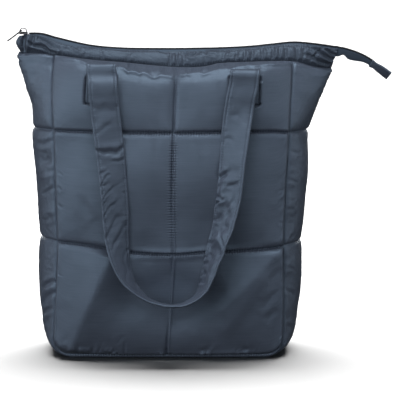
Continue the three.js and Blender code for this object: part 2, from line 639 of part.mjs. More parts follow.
// ---------------------------------------------------------------- straps
// A cell's height where a strap rests on a panel.
function restDepth(x, z) {
  // Above the shoulder the strap stands up from it.
  const crest = Math.min(z, cross.band(x) - cross.drop(x) - CREST);
  return panelDepth(x, crest) + SKIN + PANEL_PUFF;
}
const STRAP_STEPS = 2; // stations between two rows of the strap's table
function strap(side) {
  const numbered = STRAP.map((r, i) => ({ ...r, i }));
  const on = {};
  for (const column of ["x", "z", "off", "turn"]) on[column] = curveOf(numbered, "i", column);
  const stations = [];
  for (let k = 0; k <= (STRAP.length - 1) * STRAP_STEPS; k++) {
    const i = k / STRAP_STEPS;
    const turn = THREE.MathUtils.degToRad(on.turn(i));
    const x = on.x(i);
    const z = on.z(i);
    // The strap clears the panel all across its width.
    const depths = [-0.5, -0.25, 0, 0.25, 0.5].map((w) => restDepth(x + w * STRAP_W * Math.cos(turn), z) + w * STRAP_W * Math.sin(turn));
    const slope = (restDepth(x, z + 3) - restDepth(x, z - 3)) / 6;
    const depth = Math.max(...depths) + STRAP_GAP + (STRAP_T / 2) * Math.abs(Math.cos(turn)) * Math.hypot(1, slope) + on.off(i);
    stations.push({ at: vec(x, side * depth, z), wide: vec(Math.cos(turn), -side * Math.sin(turn), 0) });
  }
  const rings = stations.map((s, i) => {
    const along = stations[Math.min(stations.length - 1, i + 1)].at.clone().sub(stations[Math.max(0, i - 1)].at).normalize();
    const wide = s.wide.clone().addScaledVector(along, -s.wide.dot(along)).normalize();
    const face = along.clone().cross(wide);
    return [
      [-1, -1],
      [0, -1],
      [1, -1],
      [1, 1],
      [0, 1],
      [-1, 1],
    ].map(([w, h]) => s.at.clone().addScaledVector(wide, (w * STRAP_W) / 2).addScaledVector(face, (h * STRAP_T) / 2));
  });
  return loft(rings);
}
add("strap_front", strap(-1), webbing);
add("strap_back", strap(1), webbing);

export default bag;
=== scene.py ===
# A padded, quilted nylon shoulder bag with a zipped top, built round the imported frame.
# Shapes are worked out in millimetres in the frame's axes and turned into metres at the end.
import json
import math

import bmesh
import bpy
import numpy as np
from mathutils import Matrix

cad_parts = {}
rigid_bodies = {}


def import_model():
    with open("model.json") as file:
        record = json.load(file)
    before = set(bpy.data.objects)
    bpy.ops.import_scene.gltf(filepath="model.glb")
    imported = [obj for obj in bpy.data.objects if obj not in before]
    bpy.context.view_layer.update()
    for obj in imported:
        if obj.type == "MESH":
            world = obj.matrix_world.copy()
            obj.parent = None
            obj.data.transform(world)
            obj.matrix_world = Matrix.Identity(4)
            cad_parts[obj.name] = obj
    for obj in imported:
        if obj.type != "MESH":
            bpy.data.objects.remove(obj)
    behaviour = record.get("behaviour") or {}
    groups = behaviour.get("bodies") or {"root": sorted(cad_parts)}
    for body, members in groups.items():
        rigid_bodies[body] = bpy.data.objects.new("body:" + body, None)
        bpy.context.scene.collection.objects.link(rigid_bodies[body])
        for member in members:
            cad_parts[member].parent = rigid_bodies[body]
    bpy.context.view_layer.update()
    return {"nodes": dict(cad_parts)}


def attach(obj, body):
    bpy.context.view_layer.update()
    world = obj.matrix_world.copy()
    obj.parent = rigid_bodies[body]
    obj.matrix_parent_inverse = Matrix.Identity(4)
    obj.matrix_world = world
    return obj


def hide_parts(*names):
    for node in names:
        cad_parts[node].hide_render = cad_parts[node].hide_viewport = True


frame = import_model()
MM = 0.001
SCENE = bpy.context.scene

# ------------------------------------------------------------------ sizes, as in the part
SKIN = 1.2
PANEL_PUFF = 7.0
CORNER_R = 20.0
SEAM_GAP = 0.5
SHOULDER_GAP = 1.8
CREST = 3.0
BAND_T = 2.0
TAPE_T = 0.7
TAPE_W = 11.0
STRAP_W = 34.5
STRAP_T = 2.6
STRAP_GAP = 0.5

BODY_COLUMNS = ("z", "seamL", "seamR", "depth", "tipL", "tipR", "belly", "fold")
BODY = [
    (0, -143, 131, 48, -146, 134, 0, 2.4),
    (20, -142.5, 132.5, 49, -151, 143, 7, 2.4),
    (50, -140.5, 133.6, 50, -155, 148, 11, 2.4),
    (90, -138, 133.2, 50, -157.8, 152, 13, 2.3),
    (120, -137, 132.8, 49.5, -157.8, 153.2, 14, 2.2),
    (141, -136.4, 133.2, 49, -157.2, 154, 15, 2.2),
    (165, -136.8, 133.8, 48, -158, 156.2, 17, 2.1),
    (205, -138.2, 135.2, 46.5, -160.5, 159, 18, 2),
    (240, -139, 137.3, 44.5, -164, 161.2, 17, 1.8),
    (272, -140.2, 139.2, 42, -166.8, 163.2, 16, 1.6),
    (300, -141.8, 140.6, 37, -168.8, 174, 18, 1.35),
    (320, -142.2, 141.8, 31, -176.5, 183, 21, 1.2),
    (340, -141.4, 142.5, 23, -182.5, 190.6, 23, 1.12),
    (352, -140.4, 142.6, 16, -185, 192.6, 24, 1.1),
    (366, -139.6, 142.6, 12.5, -185.8, 193, 24, 1.1),
]
CROSS_COLUMNS = ("x", "low", "high", "band", "drop", "zip")
CROSS = [
    (-186, 142, 276, 365.5, 4, 386.6),
    (-158, 142.5, 275, 365.5, 4, 387.2),
    (-138, 142, 274, 362.5, 4.5, 382),
    (-98, 138.5, 273.4, 357.4, 5.5, 373),
    (-60, 132, 273, 354.4, 9.5, 369.6),
    (-20, 129.2, 272.6, 350.6, 12, 369),
    (10, 129, 272.4, 348.6, 10.5, 369),
    (36, 131, 272.8, 349.4, 8.5, 369.4),
    (56, 131.4, 273.2, 353.3, 9.5, 369.8),
    (92, 132.8, 273.2, 354.9, 6.5, 371.6),
    (120, 135, 272.8, 355.8, 5, 374.4),
    (146, 137, 271.2, 355.4, 4.5, 376.8),
    (172, 139, 274, 349.6, 4, 374.8),
    (196, 140, 275, 347.4, 4, 371.4),
]
MIDDLE = [(0, -7.4), (36, -4.6), (97, -0.4), (129, 1.4), (190, 0.6), (272, 2.4), (350, 5.6)]
BAND_END = [(0, -182, 192), (0.3, -185.4, 194), (0.55, -187, 196), (0.8, -185.4, 198), (1, -183, 199)]
TAIL = [(199, 371, 0), (207, 369.6, 3), (215, 367.4, 6), (224, 364.2, 10), (233, 360, 14), (242, 354.6, 18)]
STRAP = [  # across, up, off the panel, turn of the width
    (-84.8, 307, 0, -7), (-83.4, 330, 0.7, -7), (-82.6, 343, 1.4, -6), (-82.2, 352.2, 3.2, -5),
    (-81.8, 352.4, 7.4, -3), (-81, 345, 9.6, 0), (-80, 333, 8.2, 3), (-78, 310, 5, 6),
    (-74.5, 277, 2.5, 12), (-69.8, 236, 1.5, 19), (-66.2, 195, 1, 26), (-63.4, 150, 1, 40),
    (-58.5, 120, 1, 55), (-46, 95, 1, 70), (-26, 78.5, 1, 82), (0, 71.5, 1, 92),
    (22, 76.5, 1, 100), (35, 89, 1, 108), (43.5, 110, 1, 118), (51, 138, 1, 130),
    (60.5, 168, 1, 137), (67.4, 202, 1, 145), (71.6, 242, 1.5, 154), (75.6, 277, 2.5, 162),
    (81, 312, 5, 170), (84.6, 329, 8.2, 176), (85.8, 339.5, 9.6, 180), (86.6, 346.4, 7.4, 183),
    (87, 346.2, 3.2, 185), (87, 338, 1.4, 186), (86.9, 327, 0.7, 187), (86.6, 307, 0, 187),
]


# ------------------------------------------------------------------ curves and noise
def curve(t, v):
    """A smooth curve through points, level past its ends."""
    t = np.asarray(t, float)
    v = np.asarray(v, float)
    slope = np.empty_like(v)
    slope[1:-1] = (v[2:] - v[:-2]) / (t[2:] - t[:-2])
    slope[0] = (v[1] - v[0]) / (t[1] - t[0])
    slope[-1] = (v[-1] - v[-2]) / (t[-1] - t[-2])

    def f(x):
        x = np.clip(np.asarray(x, float), t[0], t[-1])
        i = np.clip(np.searchsorted(t, x, side="right") - 1, 0, len(t) - 2)
        h = t[i + 1] - t[i]
        s = (x - t[i]) / h
        s2, s3 = s * s, s * s * s
        return (2 * s3 - 3 * s2 + 1) * v[i] + (s3 - 2 * s2 + s) * h * slope[i] + (3 * s2 - 2 * s3) * v[i + 1] + (s3 - s2) * h * slope[i + 1]

    return f


def columns(names, rows):
    t = [r[0] for r in rows]
    return {n: curve(t, [r[k] for r in rows]) for k, n in enumerate(names) if k}


body = columns(BODY_COLUMNS, BODY)
cross = columns(CROSS_COLUMNS, CROSS)
middle_x = curve([r[0] for r in MIDDLE], [r[1] for r in MIDDLE])


def lerp(a, b, t):
    return a + (b - a) * t


def smooth(e0, e1, x):
    t = np.clip((np.asarray(x, float) - e0) / (e1 - e0), 0, 1)
    return t * t * (3 - 2 * t)


def vnoise(u, v, seed):
    """Smooth noise from -1 to 1 on a seeded lattice."""
    grid = np.random.RandomState(seed).uniform(-1, 1, (64, 64))
    u = np.asarray(u, float)
    v = np.asarray(v, float)
    iu, iv = np.floor(u).astype(int), np.floor(v).astype(int)
    fu, fv = u - iu, v - iv
    fu = fu * fu * fu * (fu * (fu * 6 - 15) + 10)
    fv = fv * fv * fv * (fv * (fv * 6 - 15) + 10)
    g = lambda a, b: grid[a % 64, b % 64]
    return lerp(lerp(g(iu, iv), g(iu + 1, iv), fu), lerp(g(iu, iv + 1), g(iu + 1, iv + 1), fu), fv)


def fbm(u, v, seed, octaves=3):
    total, amp = 0, 1.0
    for k in range(octaves):
        total = total + amp * vnoise(u * 2**k + 7.3 * k, v * 2**k + 3.1 * k, seed + k)
        amp *= 0.5
    return total


def ridged(u, v, seed):
    """Thin creases, 0 to 1, where a smooth noise passes through nothing."""
    return (1 - np.abs(vnoise(u, v, seed))) ** 4


def rise(d, r):
    """How cloth climbs from a seam: steep at first, level from r on."""
    return np.sqrt(np.maximum(0, 1 - (1 - np.clip(d / r, 0, 1)) ** 2))


def spread(n, low=0.5, high=0.5):
    """n shares from 0 up to, not with, 1, closer together at the ends."""
    t = (np.arange(n) + 0.5) / n
    w = 1 - low * np.exp(-t / 0.12) - high * np.exp(-(1 - t) / 0.12)
    return np.concatenate([[0], np.cumsum(w)])[:-1] / w.sum()


def bell(d, width):
    return np.exp(-((d / width) ** 2))


def line_distance(x, z, x0, z0, x1, z1):
    """How far a point is from a line between two points, and how far along it, 0 to 1."""
    dx, dz = x1 - x0, z1 - z0
    t = np.clip(((x - x0) * dx + (z - z0) * dz) / (dx * dx + dz * dz), 0, 1)
    return np.hypot(x - x0 - t * dx, z - z0 - t * dz), t


def creased(x, z, table):
    """Pressed lines: from, to, width and depth. They fade at their ends and have a lip beside them."""
    total = np.zeros(np.broadcast(x, z).shape)
    wx = x + 2.4 * vnoise(x / 11, z / 11, 91)
    wz = z + 2.4 * vnoise(x / 11, z / 11, 92)
    for x0, z0, x1, z1, width, deep in table:
        d, t = line_distance(wx, wz, x0, z0, x1, z1)
        fade = np.sqrt(np.maximum(0, np.sin(np.pi * (0.08 + 0.84 * t))))
        total += deep * fade * (0.55 * bell(d - 1.9 * width, width) - bell(d, width))
    return total


def along(grid, axis):
    """Lengths along a grid's lines, from its first line."""
    steps = np.linalg.norm(np.diff(grid, axis=axis), axis=2)
    zero = np.zeros_like(np.take(steps, [0], axis=axis))
    return np.concatenate([zero, np.cumsum(steps, axis=axis)], axis=axis)


def blurred(a, rounds):
    for _ in range(rounds):
        p = np.pad(a, 1, mode="edge")
        a = (p[:-2, 1:-1] + p[2:, 1:-1] + p[1:-1, :-2] + p[1:-1, 2:] + 2 * p[1:-1, 1:-1]) / 6
    return a


# ------------------------------------------------------------------ mesh making
def normals_of(grid, sign=1.0):
    du = np.gradient(grid, axis=0)
    dv = np.gradient(grid, axis=1)
    n = np.cross(du, dv)
    return sign * n / np.maximum(np.linalg.norm(n, axis=2, keepdims=True), 1e-9)


def grid_quads(n, m, base=0, flip=False):
    i, j = np.meshgrid(np.arange(n - 1), np.arange(m - 1), indexing="ij")
    a = base + i * m + j
    q = np.stack([a, a + m, a + m + 1, a + 1], axis=-1).reshape(-1, 4)
    return q[:, ::-1] if flip else q


def bridge(a, b):
    """Triangles between two rows of vertices of different counts."""
    faces, i, j = [], 0, 0
    while i < len(a) - 1 or j < len(b) - 1:
        if j == len(b) - 1 or (i < len(a) - 1 and (i + 1) / (len(a) - 1) <= (j + 1) / (len(b) - 1)):
            faces.append((a[i], a[i + 1], b[j]))
            i += 1
        else:
            faces.append((a[i], b[j + 1], b[j]))
            j += 1
    return faces


def new_object(name, verts, faces, uv=None, material=None, shade=True):
    me = bpy.data.meshes.new(name)
    me.from_pydata((np.asarray(verts, float) * MM).tolist(), [], [tuple(int(k) for k in f) for f in faces])
    me.update()
    if uv is not None:
        layer = me.uv_layers.new(name="cloth")
        loops = np.empty(len(me.loops), dtype=np.int32)
        me.loops.foreach_get("vertex_index", loops)
        layer.data.foreach_set("uv", np.asarray(uv, np.float32)[loops].ravel())
    bm = bmesh.new()
    bm.from_mesh(me)
    bmesh.ops.recalc_face_normals(bm, faces=bm.faces)
    bm.to_mesh(me)
    bm.free()
    me.polygons.foreach_set("use_smooth", [shade] * len(me.polygons))
    ob = bpy.data.objects.new(name, me)
    SCENE.collection.objects.link(ob)
    if material is not None:
        me.materials.append(material)
    return ob


def shell(name, outer, inner, uv, material):
    """A closed wall: a fine outer grid, a coarse inner grid and the rim between them."""
    n, m = outer.shape[:2]
    p, q = inner.shape[:2]
    base = n * m
    faces = [tuple(f) for f in grid_quads(n, m)]
    faces += [tuple(f) for f in grid_quads(p, q, base, True)]
    oid = lambda i, j: i * m + j
    iid = lambda i, j: base + i * q + j
    sides = [
        ([oid(i, 0) for i in range(n)], [iid(i, 0) for i in range(p)]),
        ([oid(n - 1, j) for j in range(m)], [iid(p - 1, j) for j in range(q)]),
        ([oid(i, m - 1) for i in range(n)][::-1], [iid(i, q - 1) for i in range(p)][::-1]),
        ([oid(0, j) for j in range(m)][::-1], [iid(0, j) for j in range(q)][::-1]),
    ]
    for a, b in sides:
        faces += bridge(a, b)
    verts = np.concatenate([outer.reshape(-1, 3), inner.reshape(-1, 3)])
    uvs = np.concatenate([uv.reshape(-1, 2), np.zeros((p * q, 2))])
    return new_object(name, verts, faces, uvs, material)


def tube(rings, closed_ends=True):
    """Vertices and faces of rings joined into a closed tube."""
    n, k = rings.shape[:2]
    faces = []
    for i in range(n - 1):
        a = i * k + np.arange(k)
        b = i * k + (np.arange(k) + 1) % k
        faces += [tuple(x) for x in np.stack([a, b, b + k, a + k], axis=1)]
    if closed_ends:
        faces.append(tuple(range(k))[::-1])
        faces.append(tuple((n - 1) * k + np.arange(k)))
    return rings.reshape(-1, 3), faces


def refine(grid, breaks_i, breaks_j, factor=2):
    """A grid with factor times the steps, by cubic curves that don't run across the breaks."""

    def run(g, breaks):
        parts = []
        for k, (a, b) in enumerate(zip(breaks[:-1], breaks[1:])):
            seg = g[a : b + 1]
            ext = np.concatenate([2 * seg[:1] - seg[1:2], seg, 2 * seg[-1:] - seg[-2:-1]])
            n = b - a
            t = np.arange(n * factor + (1 if k == len(breaks) - 2 else 0)) / factor
            i = np.minimum(t.astype(int), n - 1)
            s = (t - i).reshape(-1, *([1] * (g.ndim - 1)))
            p0, p1, p2, p3 = ext[i], ext[i + 1], ext[i + 2], ext[i + 3]
            parts.append(0.5 * (2 * p1 + (p2 - p0) * s + (2 * p0 - 5 * p1 + 4 * p2 - p3) * s**2 + (3 * p1 - p0 - 3 * p2 + p3) * s**3))
        return np.concatenate(parts)

    g = run(grid, breaks_i)
    return np.swapaxes(run(np.swapaxes(g, 0, 1), breaks_j), 0, 1)


def marks(ob, **values):
    """Numbers on an object's first vertices, for its material."""
    for name, v in values.items():
        at = ob.data.attributes.new(name, "FLOAT", "POINT")
        full = np.zeros(len(ob.data.vertices), np.float32)
        full[: v.size] = v.ravel()
        at.data.foreach_set("value", full)


def stitches(name, lines, pitch, radius, material, lift=0.2):
    """Thread along lines on cloth (points and the way out of the cloth), one small arch a stitch."""
    verts, faces, base = [], [], 0
    u = np.array([0.0, 0.25, 0.5, 0.75, 1.0])
    for P, N in lines:
        s = np.concatenate([[0], np.cumsum(np.linalg.norm(np.diff(P, axis=0), axis=1))])
        count = int(s[-1] / pitch)
        at = (np.arange(count)[:, None] + 0.12 + 0.76 * u[None]) * pitch
        pick = lambda a: np.stack([np.interp(at, s, a[:, j]) for j in range(3)], axis=2)
        p, n = pick(P), pick(N)
        n /= np.maximum(np.linalg.norm(n, axis=2, keepdims=True), 1e-9)
        c = p + n * (lift - 0.55 * (2 * u - 1) ** 4)[None, :, None]
        t = np.gradient(c, axis=1)
        t /= np.maximum(np.linalg.norm(t, axis=2, keepdims=True), 1e-9)
        b = np.cross(t, n)
        size = radius * np.array([0.5, 1, 1, 1, 0.5])
        ang = np.pi / 2 * np.arange(4) + np.pi / 4
        ring = c[:, :, None] + size[None, :, None, None] * (b[:, :, None] * np.cos(ang)[None, None, :, None] + n[:, :, None] * np.sin(ang)[None, None, :, None])
        k = base + 20 * np.arange(count)[:, None, None]
        i, j = np.meshgrid(np.arange(4), np.arange(4), indexing="ij")
        q = np.stack([i * 4 + j, i * 4 + (j + 1) % 4, (i + 1) * 4 + (j + 1) % 4, (i + 1) * 4 + j], axis=2).reshape(-1, 4)
        q = np.concatenate([q, [[3, 2, 1, 0], [16, 17, 18, 19]]])
        faces.append((k + q[None]).reshape(-1, 4))
        verts.append(ring.reshape(-1, 3))
        base += 20 * count
    uv = np.concatenate([v[:, [0, 2]] for v in verts]) * MM
    return new_object(name, np.concatenate(verts), np.concatenate(faces), uv, material)


# ------------------------------------------------------------------ cloth
SIM_SCALE = 0.01  # one unit of the simulation is 100 mm


def simulate(name, start, rest, pinned, frames=24, pressure=4.0, gravity=0.0, bend=0.05, stretch=25.0, mass=0.02, flip=False):
    """Settles a grid of cloth, whose own lengths are those of rest, between its pinned seams."""
    n, m = start.shape[:2]
    me = bpy.data.meshes.new(name + "_sim")
    me.from_pydata((start.reshape(-1, 3) * SIM_SCALE).tolist(), [], grid_quads(n, m, 0, flip).tolist())
    ob = bpy.data.objects.new(name + "_sim", me)
    SCENE.collection.objects.link(ob)
    ob.shape_key_add(name="Basis")
    key = ob.shape_key_add(name="rest")
    key.data.foreach_set("co", (rest.reshape(-1, 3) * SIM_SCALE).astype(np.float32).ravel())
    group = ob.vertex_groups.new(name="pin")
    group.add(np.flatnonzero(pinned.ravel()).tolist(), 1.0, "REPLACE")
    mod = ob.modifiers.new("cloth", "CLOTH")
    st = mod.settings
    st.quality = 6
    st.mass = mass
    st.tension_stiffness = st.compression_stiffness = stretch
    st.shear_stiffness = stretch * 0.35
    st.bending_model = "ANGULAR"
    st.bending_stiffness = bend
    st.tension_damping = st.compression_damping = 8
    st.shear_damping = 5
    st.bending_damping = 0.5
    st.air_damping = 4
    st.use_pressure = True
    st.uniform_pressure_force = pressure
    st.effector_weights.gravity = gravity
    st.vertex_group_mass = "pin"
    st.pin_stiffness = 1.0
    st.rest_shape_key = key
    mod.collision_settings.use_collision = False
    mod.collision_settings.use_self_collision = False
    mod.point_cache.frame_start = 1
    mod.point_cache.frame_end = frames + 1
    for f in range(1, frames + 1):
        SCENE.frame_set(f)
    held = ob.evaluated_get(bpy.context.evaluated_depsgraph_get())
    out = np.empty(n * m * 3, dtype=np.float32)
    held.data.vertices.foreach_get("co", out)
    bpy.data.objects.remove(ob)
    bpy.data.meshes.remove(me)
    SCENE.frame_set(1)
    return out.reshape(n, m, 3).astype(float) / SIM_SCALE


# ------------------------------------------------------------------ materials
def nodes_of(name):
    mat = bpy.data.materials.new(name)
    mat.use_nodes = True
    nt = mat.node_tree
    for nd in list(nt.nodes):
        nt.nodes.remove(nd)
    out = nt.nodes.new("ShaderNodeOutputMaterial")
    bsdf = nt.nodes.new("ShaderNodeBsdfPrincipled")
    nt.links.new(bsdf.outputs["BSDF"], out.inputs["Surface"])
    return mat, nt, bsdf


def math_node(nt, op, a, b=None):
    nd = nt.nodes.new("ShaderNodeMath")
    nd.operation = op
    for k, x in enumerate((a, b)):
        if x is None:
            continue
        if isinstance(x, (int, float)):
            nd.inputs[k].default_value = x
        else:
            nt.links.new(x, nd.inputs[k])
    return nd.outputs[0]


STITCH = 0.0031  # metres between two stitches of a seam


def cloth_material(name, color, rough, threads, vary=0.2, sheen=0.03, weave=0.5, gloss=0.7):
    """Woven nylon: fine threads across each other, slubs along the weft, a satin gloss, and the
    small puckers that stitches pull in beside a seam."""
    mat, nt, bsdf = nodes_of(name)
    uv = nt.nodes.new("ShaderNodeUVMap")
    uv.uv_map = "cloth"
    sep = nt.nodes.new("ShaderNodeSeparateXYZ")
    nt.links.new(uv.outputs["UV"], sep.inputs[0])
    turn = 2 * math.pi * threads
    wu = math_node(nt, "SINE", math_node(nt, "MULTIPLY", sep.outputs["X"], turn))
    wv = math_node(nt, "SINE", math_node(nt, "MULTIPLY", sep.outputs["Y"], turn))
    cloth = math_node(nt, "MULTIPLY", wu, wv)
    # Slubs: long thin streaks along the weft.
    mapping = nt.nodes.new("ShaderNodeMapping")
    mapping.inputs["Scale"].default_value = (28, 900, 1)
    nt.links.new(uv.outputs["UV"], mapping.inputs["Vector"])
    slub = nt.nodes.new("ShaderNodeTexNoise")
    slub.inputs["Scale"].default_value = 1.0
    slub.inputs["Detail"].default_value = 3.0
    nt.links.new(mapping.outputs["Vector"], slub.inputs["Vector"])
    # Soft clouds, where the cloth has been handled.
    cloud = nt.nodes.new("ShaderNodeTexNoise")
    cloud.inputs["Scale"].default_value = 26.0
    cloud.inputs["Detail"].default_value = 4.0
    nt.links.new(uv.outputs["UV"], cloud.inputs["Vector"])
    both = math_node(nt, "ADD", math_node(nt, "MULTIPLY", slub.outputs["Fac"], 0.6), math_node(nt, "MULTIPLY", cloud.outputs["Fac"], 0.4))
    ramp = nt.nodes.new("ShaderNodeValToRGB")
    ramp.color_ramp.elements[0].position = 0.3
    ramp.color_ramp.elements[1].position = 0.7
    ramp.color_ramp.elements[0].color = (*[c * (1 - vary) for c in color], 1)
    ramp.color_ramp.elements[1].color = (*[c * (1 + vary) for c in color], 1)
    nt.links.new(both, ramp.inputs["Fac"])
    nt.links.new(ramp.outputs["Color"], bsdf.inputs["Base Color"])
    rr = nt.nodes.new("ShaderNodeMapRange")
    rr.inputs["To Min"].default_value = rough - 0.05
    rr.inputs["To Max"].default_value = rough + 0.06
    nt.links.new(both, rr.inputs["Value"])
    nt.links.new(rr.outputs["Result"], bsdf.inputs["Roughness"])
    height = math_node(nt, "ADD", math_node(nt, "MULTIPLY", cloth, 0.5), math_node(nt, "MULTIPLY", slub.outputs["Fac"], 0.8))
    bump = nt.nodes.new("ShaderNodeBump")
    bump.inputs["Strength"].default_value = weave
    bump.inputs["Distance"].default_value = 0.00012
    nt.links.new(height, bump.inputs["Height"])
    # Puckers between stitches, where the mesh says that a seam is near.
    total = None
    for mark, axis in (("tick_u", "X"), ("tick_v", "Y")):
        near = nt.nodes.new("ShaderNodeAttribute")
        near.attribute_name = mark
        uneven = math_node(nt, "MULTIPLY", cloud.outputs["Fac"], 5.0)
        wave = math_node(nt, "SINE", math_node(nt, "ADD", math_node(nt, "MULTIPLY", sep.outputs[axis], 2 * math.pi / STITCH), uneven))
        part = math_node(nt, "MULTIPLY", near.outputs["Fac"], wave)
        total = part if total is None else math_node(nt, "ADD", total, part)
    pull = nt.nodes.new("ShaderNodeBump")
    pull.inputs["Strength"].default_value = 1.0
    pull.inputs["Distance"].default_value = 0.00045
    nt.links.new(total, pull.inputs["Height"])
    nt.links.new(bump.outputs["Normal"], pull.inputs["Normal"])
    nt.links.new(pull.outputs["Normal"], bsdf.inputs["Normal"])
    bsdf.inputs["Sheen Weight"].default_value = sheen
    bsdf.inputs["Sheen Roughness"].default_value = 0.4
    bsdf.inputs["Sheen Tint"].default_value = (0.75, 0.85, 1.0, 1)
    bsdf.inputs["Specular IOR Level"].default_value = gloss
    bsdf.inputs["Specular Tint"].default_value = (0.52, 0.76, 1.0, 1)
    return mat


def metal_material(name, color, rough):
    mat, nt, bsdf = nodes_of(name)
    co = nt.nodes.new("ShaderNodeTexCoord")
    noise = nt.nodes.new("ShaderNodeTexNoise")
    noise.inputs["Scale"].default_value = 900.0
    noise.inputs["Detail"].default_value = 3.0
    nt.links.new(co.outputs["Object"], noise.inputs["Vector"])
    rr = nt.nodes.new("ShaderNodeMapRange")
    rr.inputs["To Min"].default_value = rough - 0.08
    rr.inputs["To Max"].default_value = rough + 0.1
    nt.links.new(noise.outputs["Fac"], rr.inputs["Value"])
    nt.links.new(rr.outputs["Result"], bsdf.inputs["Roughness"])
    ramp = nt.nodes.new("ShaderNodeValToRGB")
    ramp.color_ramp.elements[0].position = 0.35
    ramp.color_ramp.elements[1].position = 0.75
    ramp.color_ramp.elements[0].color = (*[c * 0.85 for c in color], 1)
    ramp.color_ramp.elements[1].color = (*[c * 1.15 for c in color], 1)
    nt.links.new(noise.outputs["Fac"], ramp.inputs["Fac"])
    nt.links.new(ramp.outputs["Color"], bsdf.inputs["Base Color"])
    bsdf.inputs["Metallic"].default_value = 0.9
    return mat


NYLON = (0.0600, 0.0716, 0.0998)
mat_nylon = cloth_material("quilted_nylon", NYLON, 0.40, 1900)
# The band is the panels' nylon coloured 0.7 times as dark. This is painted shade, so that the band, which leans back
# under the top lamps, comes out no brighter than the panels.
mat_band_painted_shade = cloth_material("band_nylon_painted_shade", tuple(c * 0.7 for c in NYLON), 0.43, 1900, gloss=0.45)
# The strap's nylon is coloured 0.96 times the panels'. This is painted shade, which tones down the strap's faces that
# are turned to the lamps.
mat_strap_painted_shade = cloth_material("strap_nylon", tuple(c * 0.96 for c in NYLON), 0.39, 1900, gloss=0.62)
mat_tape = cloth_material("zip_tape", (0.044, 0.058, 0.082), 0.6, 900, sheen=0.05, weave=0.5, gloss=0.35)
mat_thread = cloth_material("thread", tuple(c * 0.95 for c in NYLON), 0.45, 2500, sheen=0.15)
mat_coil = metal_material("zip_coil", (0.014, 0.016, 0.022), 0.4)
mat_coil.node_tree.nodes["Principled BSDF"].inputs["Metallic"].default_value = 0.0
mat_metal = metal_material("zip_metal", (0.045, 0.045, 0.05), 0.28)


# ------------------------------------------------------------------ the panels' plain shape
def panel_depth(x, z):
    l, r = body["seamL"](z), body["seamR"](z)
    u = np.minimum(1, np.abs((2 * x - l - r) / (r - l)))
    square = 2 + 2 * np.clip((z - 260) / 70, 0, 1)
    t = np.clip((cross["band"](x) - SHOULDER_GAP - z) / cross["drop"](x), 0, 1)
    return body["depth"](z) + body["belly"](z) * (1 - u**square) * (1.5 * t - 0.5 * t**3)


def panel_foot(x):
    l = float(body["seamL"](CORNER_R)) + CORNER_R
    r = float(body["seamR"](CORNER_R)) - CORNER_R
    past = np.minimum(CORNER_R, np.maximum(0, np.maximum(l - x, x - r)))
    return SKIN + CORNER_R - np.sqrt(CORNER_R**2 - past**2)


def panel_xz(a, b):
    """Across and up of a panel: a is 0 to 2 across its two cells, b is 0 to 3 up its three."""
    across = lambda z: np.where(a <= 1, lerp(body["seamL"](z), middle_x(z), a), lerp(middle_x(z), body["seamR"](z), a - 1))
    level = np.minimum(2, np.floor(b)).astype(int)
    x0 = across(np.array([30.0, 200.0, 320.0])[level])
    foot = panel_foot(np.where(level == 0, across(np.full_like(b, CORNER_R)), x0))
    lines = np.stack([foot, cross["low"](x0), cross["high"](x0), cross["band"](x0) - SHOULDER_GAP])
    take = lambda k: np.take_along_axis(lines, k[None], axis=0)[0]
    z = lerp(take(level), take(level + 1), b - level)
    return across(np.maximum(z, CORNER_R)), z


def swell(s, power):
    return 1 - np.abs(2 * s - 1) ** power


# ------------------------------------------------------------------ straps
def rest_depth(x, z):
    crest = np.minimum(z, cross["band"](x) - cross["drop"](x) - CREST)
    return panel_depth(x, crest) + SKIN + PANEL_PUFF


# Creases across the front strap: leg (-1 left, 1 right), height, width, depth, slant, and
# the share of the strap's width that they run over, from its outer edge or its inner edge.
STRAP_CREASES = [
    (-1, 251, 2.8, 1.8, 0.05, -1.0, 1.0),
    (-1, 243, 1.6, 0.7, -0.16, 0.0, 1.0),
    (-1, 235, 1.5, 0.7, -0.30, -1.0, -0.3),
    (-1, 227, 1.4, 0.9, -0.45, -1.0, -0.2),
    (-1, 220, 1.5, 0.9, -0.20, -1.0, -0.4),
    (-1, 210, 1.5, 1.0, -0.60, -1.0, -0.1),
    (-1, 203, 1.4, 0.7, -0.30, -1.0, -0.5),
    (-1, 193, 1.8, 0.8, -0.80, -1.0, 0.1),
    (-1, 172, 3.2, 0.6, -0.90, -0.9, 0.5),
    (-1, 152, 3.2, 0.7, -1.10, -0.6, 0.9),
    (-1, 300, 3.4, 0.6, 0.15, -1.0, 1.0),
    (-1, 282, 2.8, 0.5, -0.30, -1.0, 0.3),
    (1, 292, 3.4, 0.6, 0.50, -1.0, 0.6),
    (1, 262, 2.8, 0.6, 0.45, 0.0, 1.0),
    (1, 232, 2.2, 1.2, -1.00, 0.1, 1.0),
    (1, 222, 2.0, 1.5, 0.50, 0.3, 1.0),
    (1, 213, 2.2, 1.2, -0.30, -0.6, 0.2),
    (1, 203, 1.9, 1.6, -1.10, 0.2, 1.0),
    (1, 193, 2.0, 1.5, 0.70, 0.4, 1.0),
    (1, 183, 2.4, 1.3, -1.20, -0.4, 0.6),
    (1, 172, 2.0, 1.3, -0.50, 0.3, 1.0),
    (1, 160, 2.6, 1.0, 0.80, -0.9, 0.2),
    (1, 148, 2.2, 1.1, -0.90, 0.0, 1.0),
    (1, 131, 2.0, 1.4, -0.50, 0.2, 1.0),
    (1, 118, 1.8, 1.4, 0.40, 0.3, 1.0),
    (1, 108, 1.7, 1.4, -0.60, 0.1, 1.0),
    (1, 99, 1.7, 1.0, -0.40, -0.2, 1.0),
]
STRAP_STITCH = 13.8  # the rows of stitches, from the strap's middle


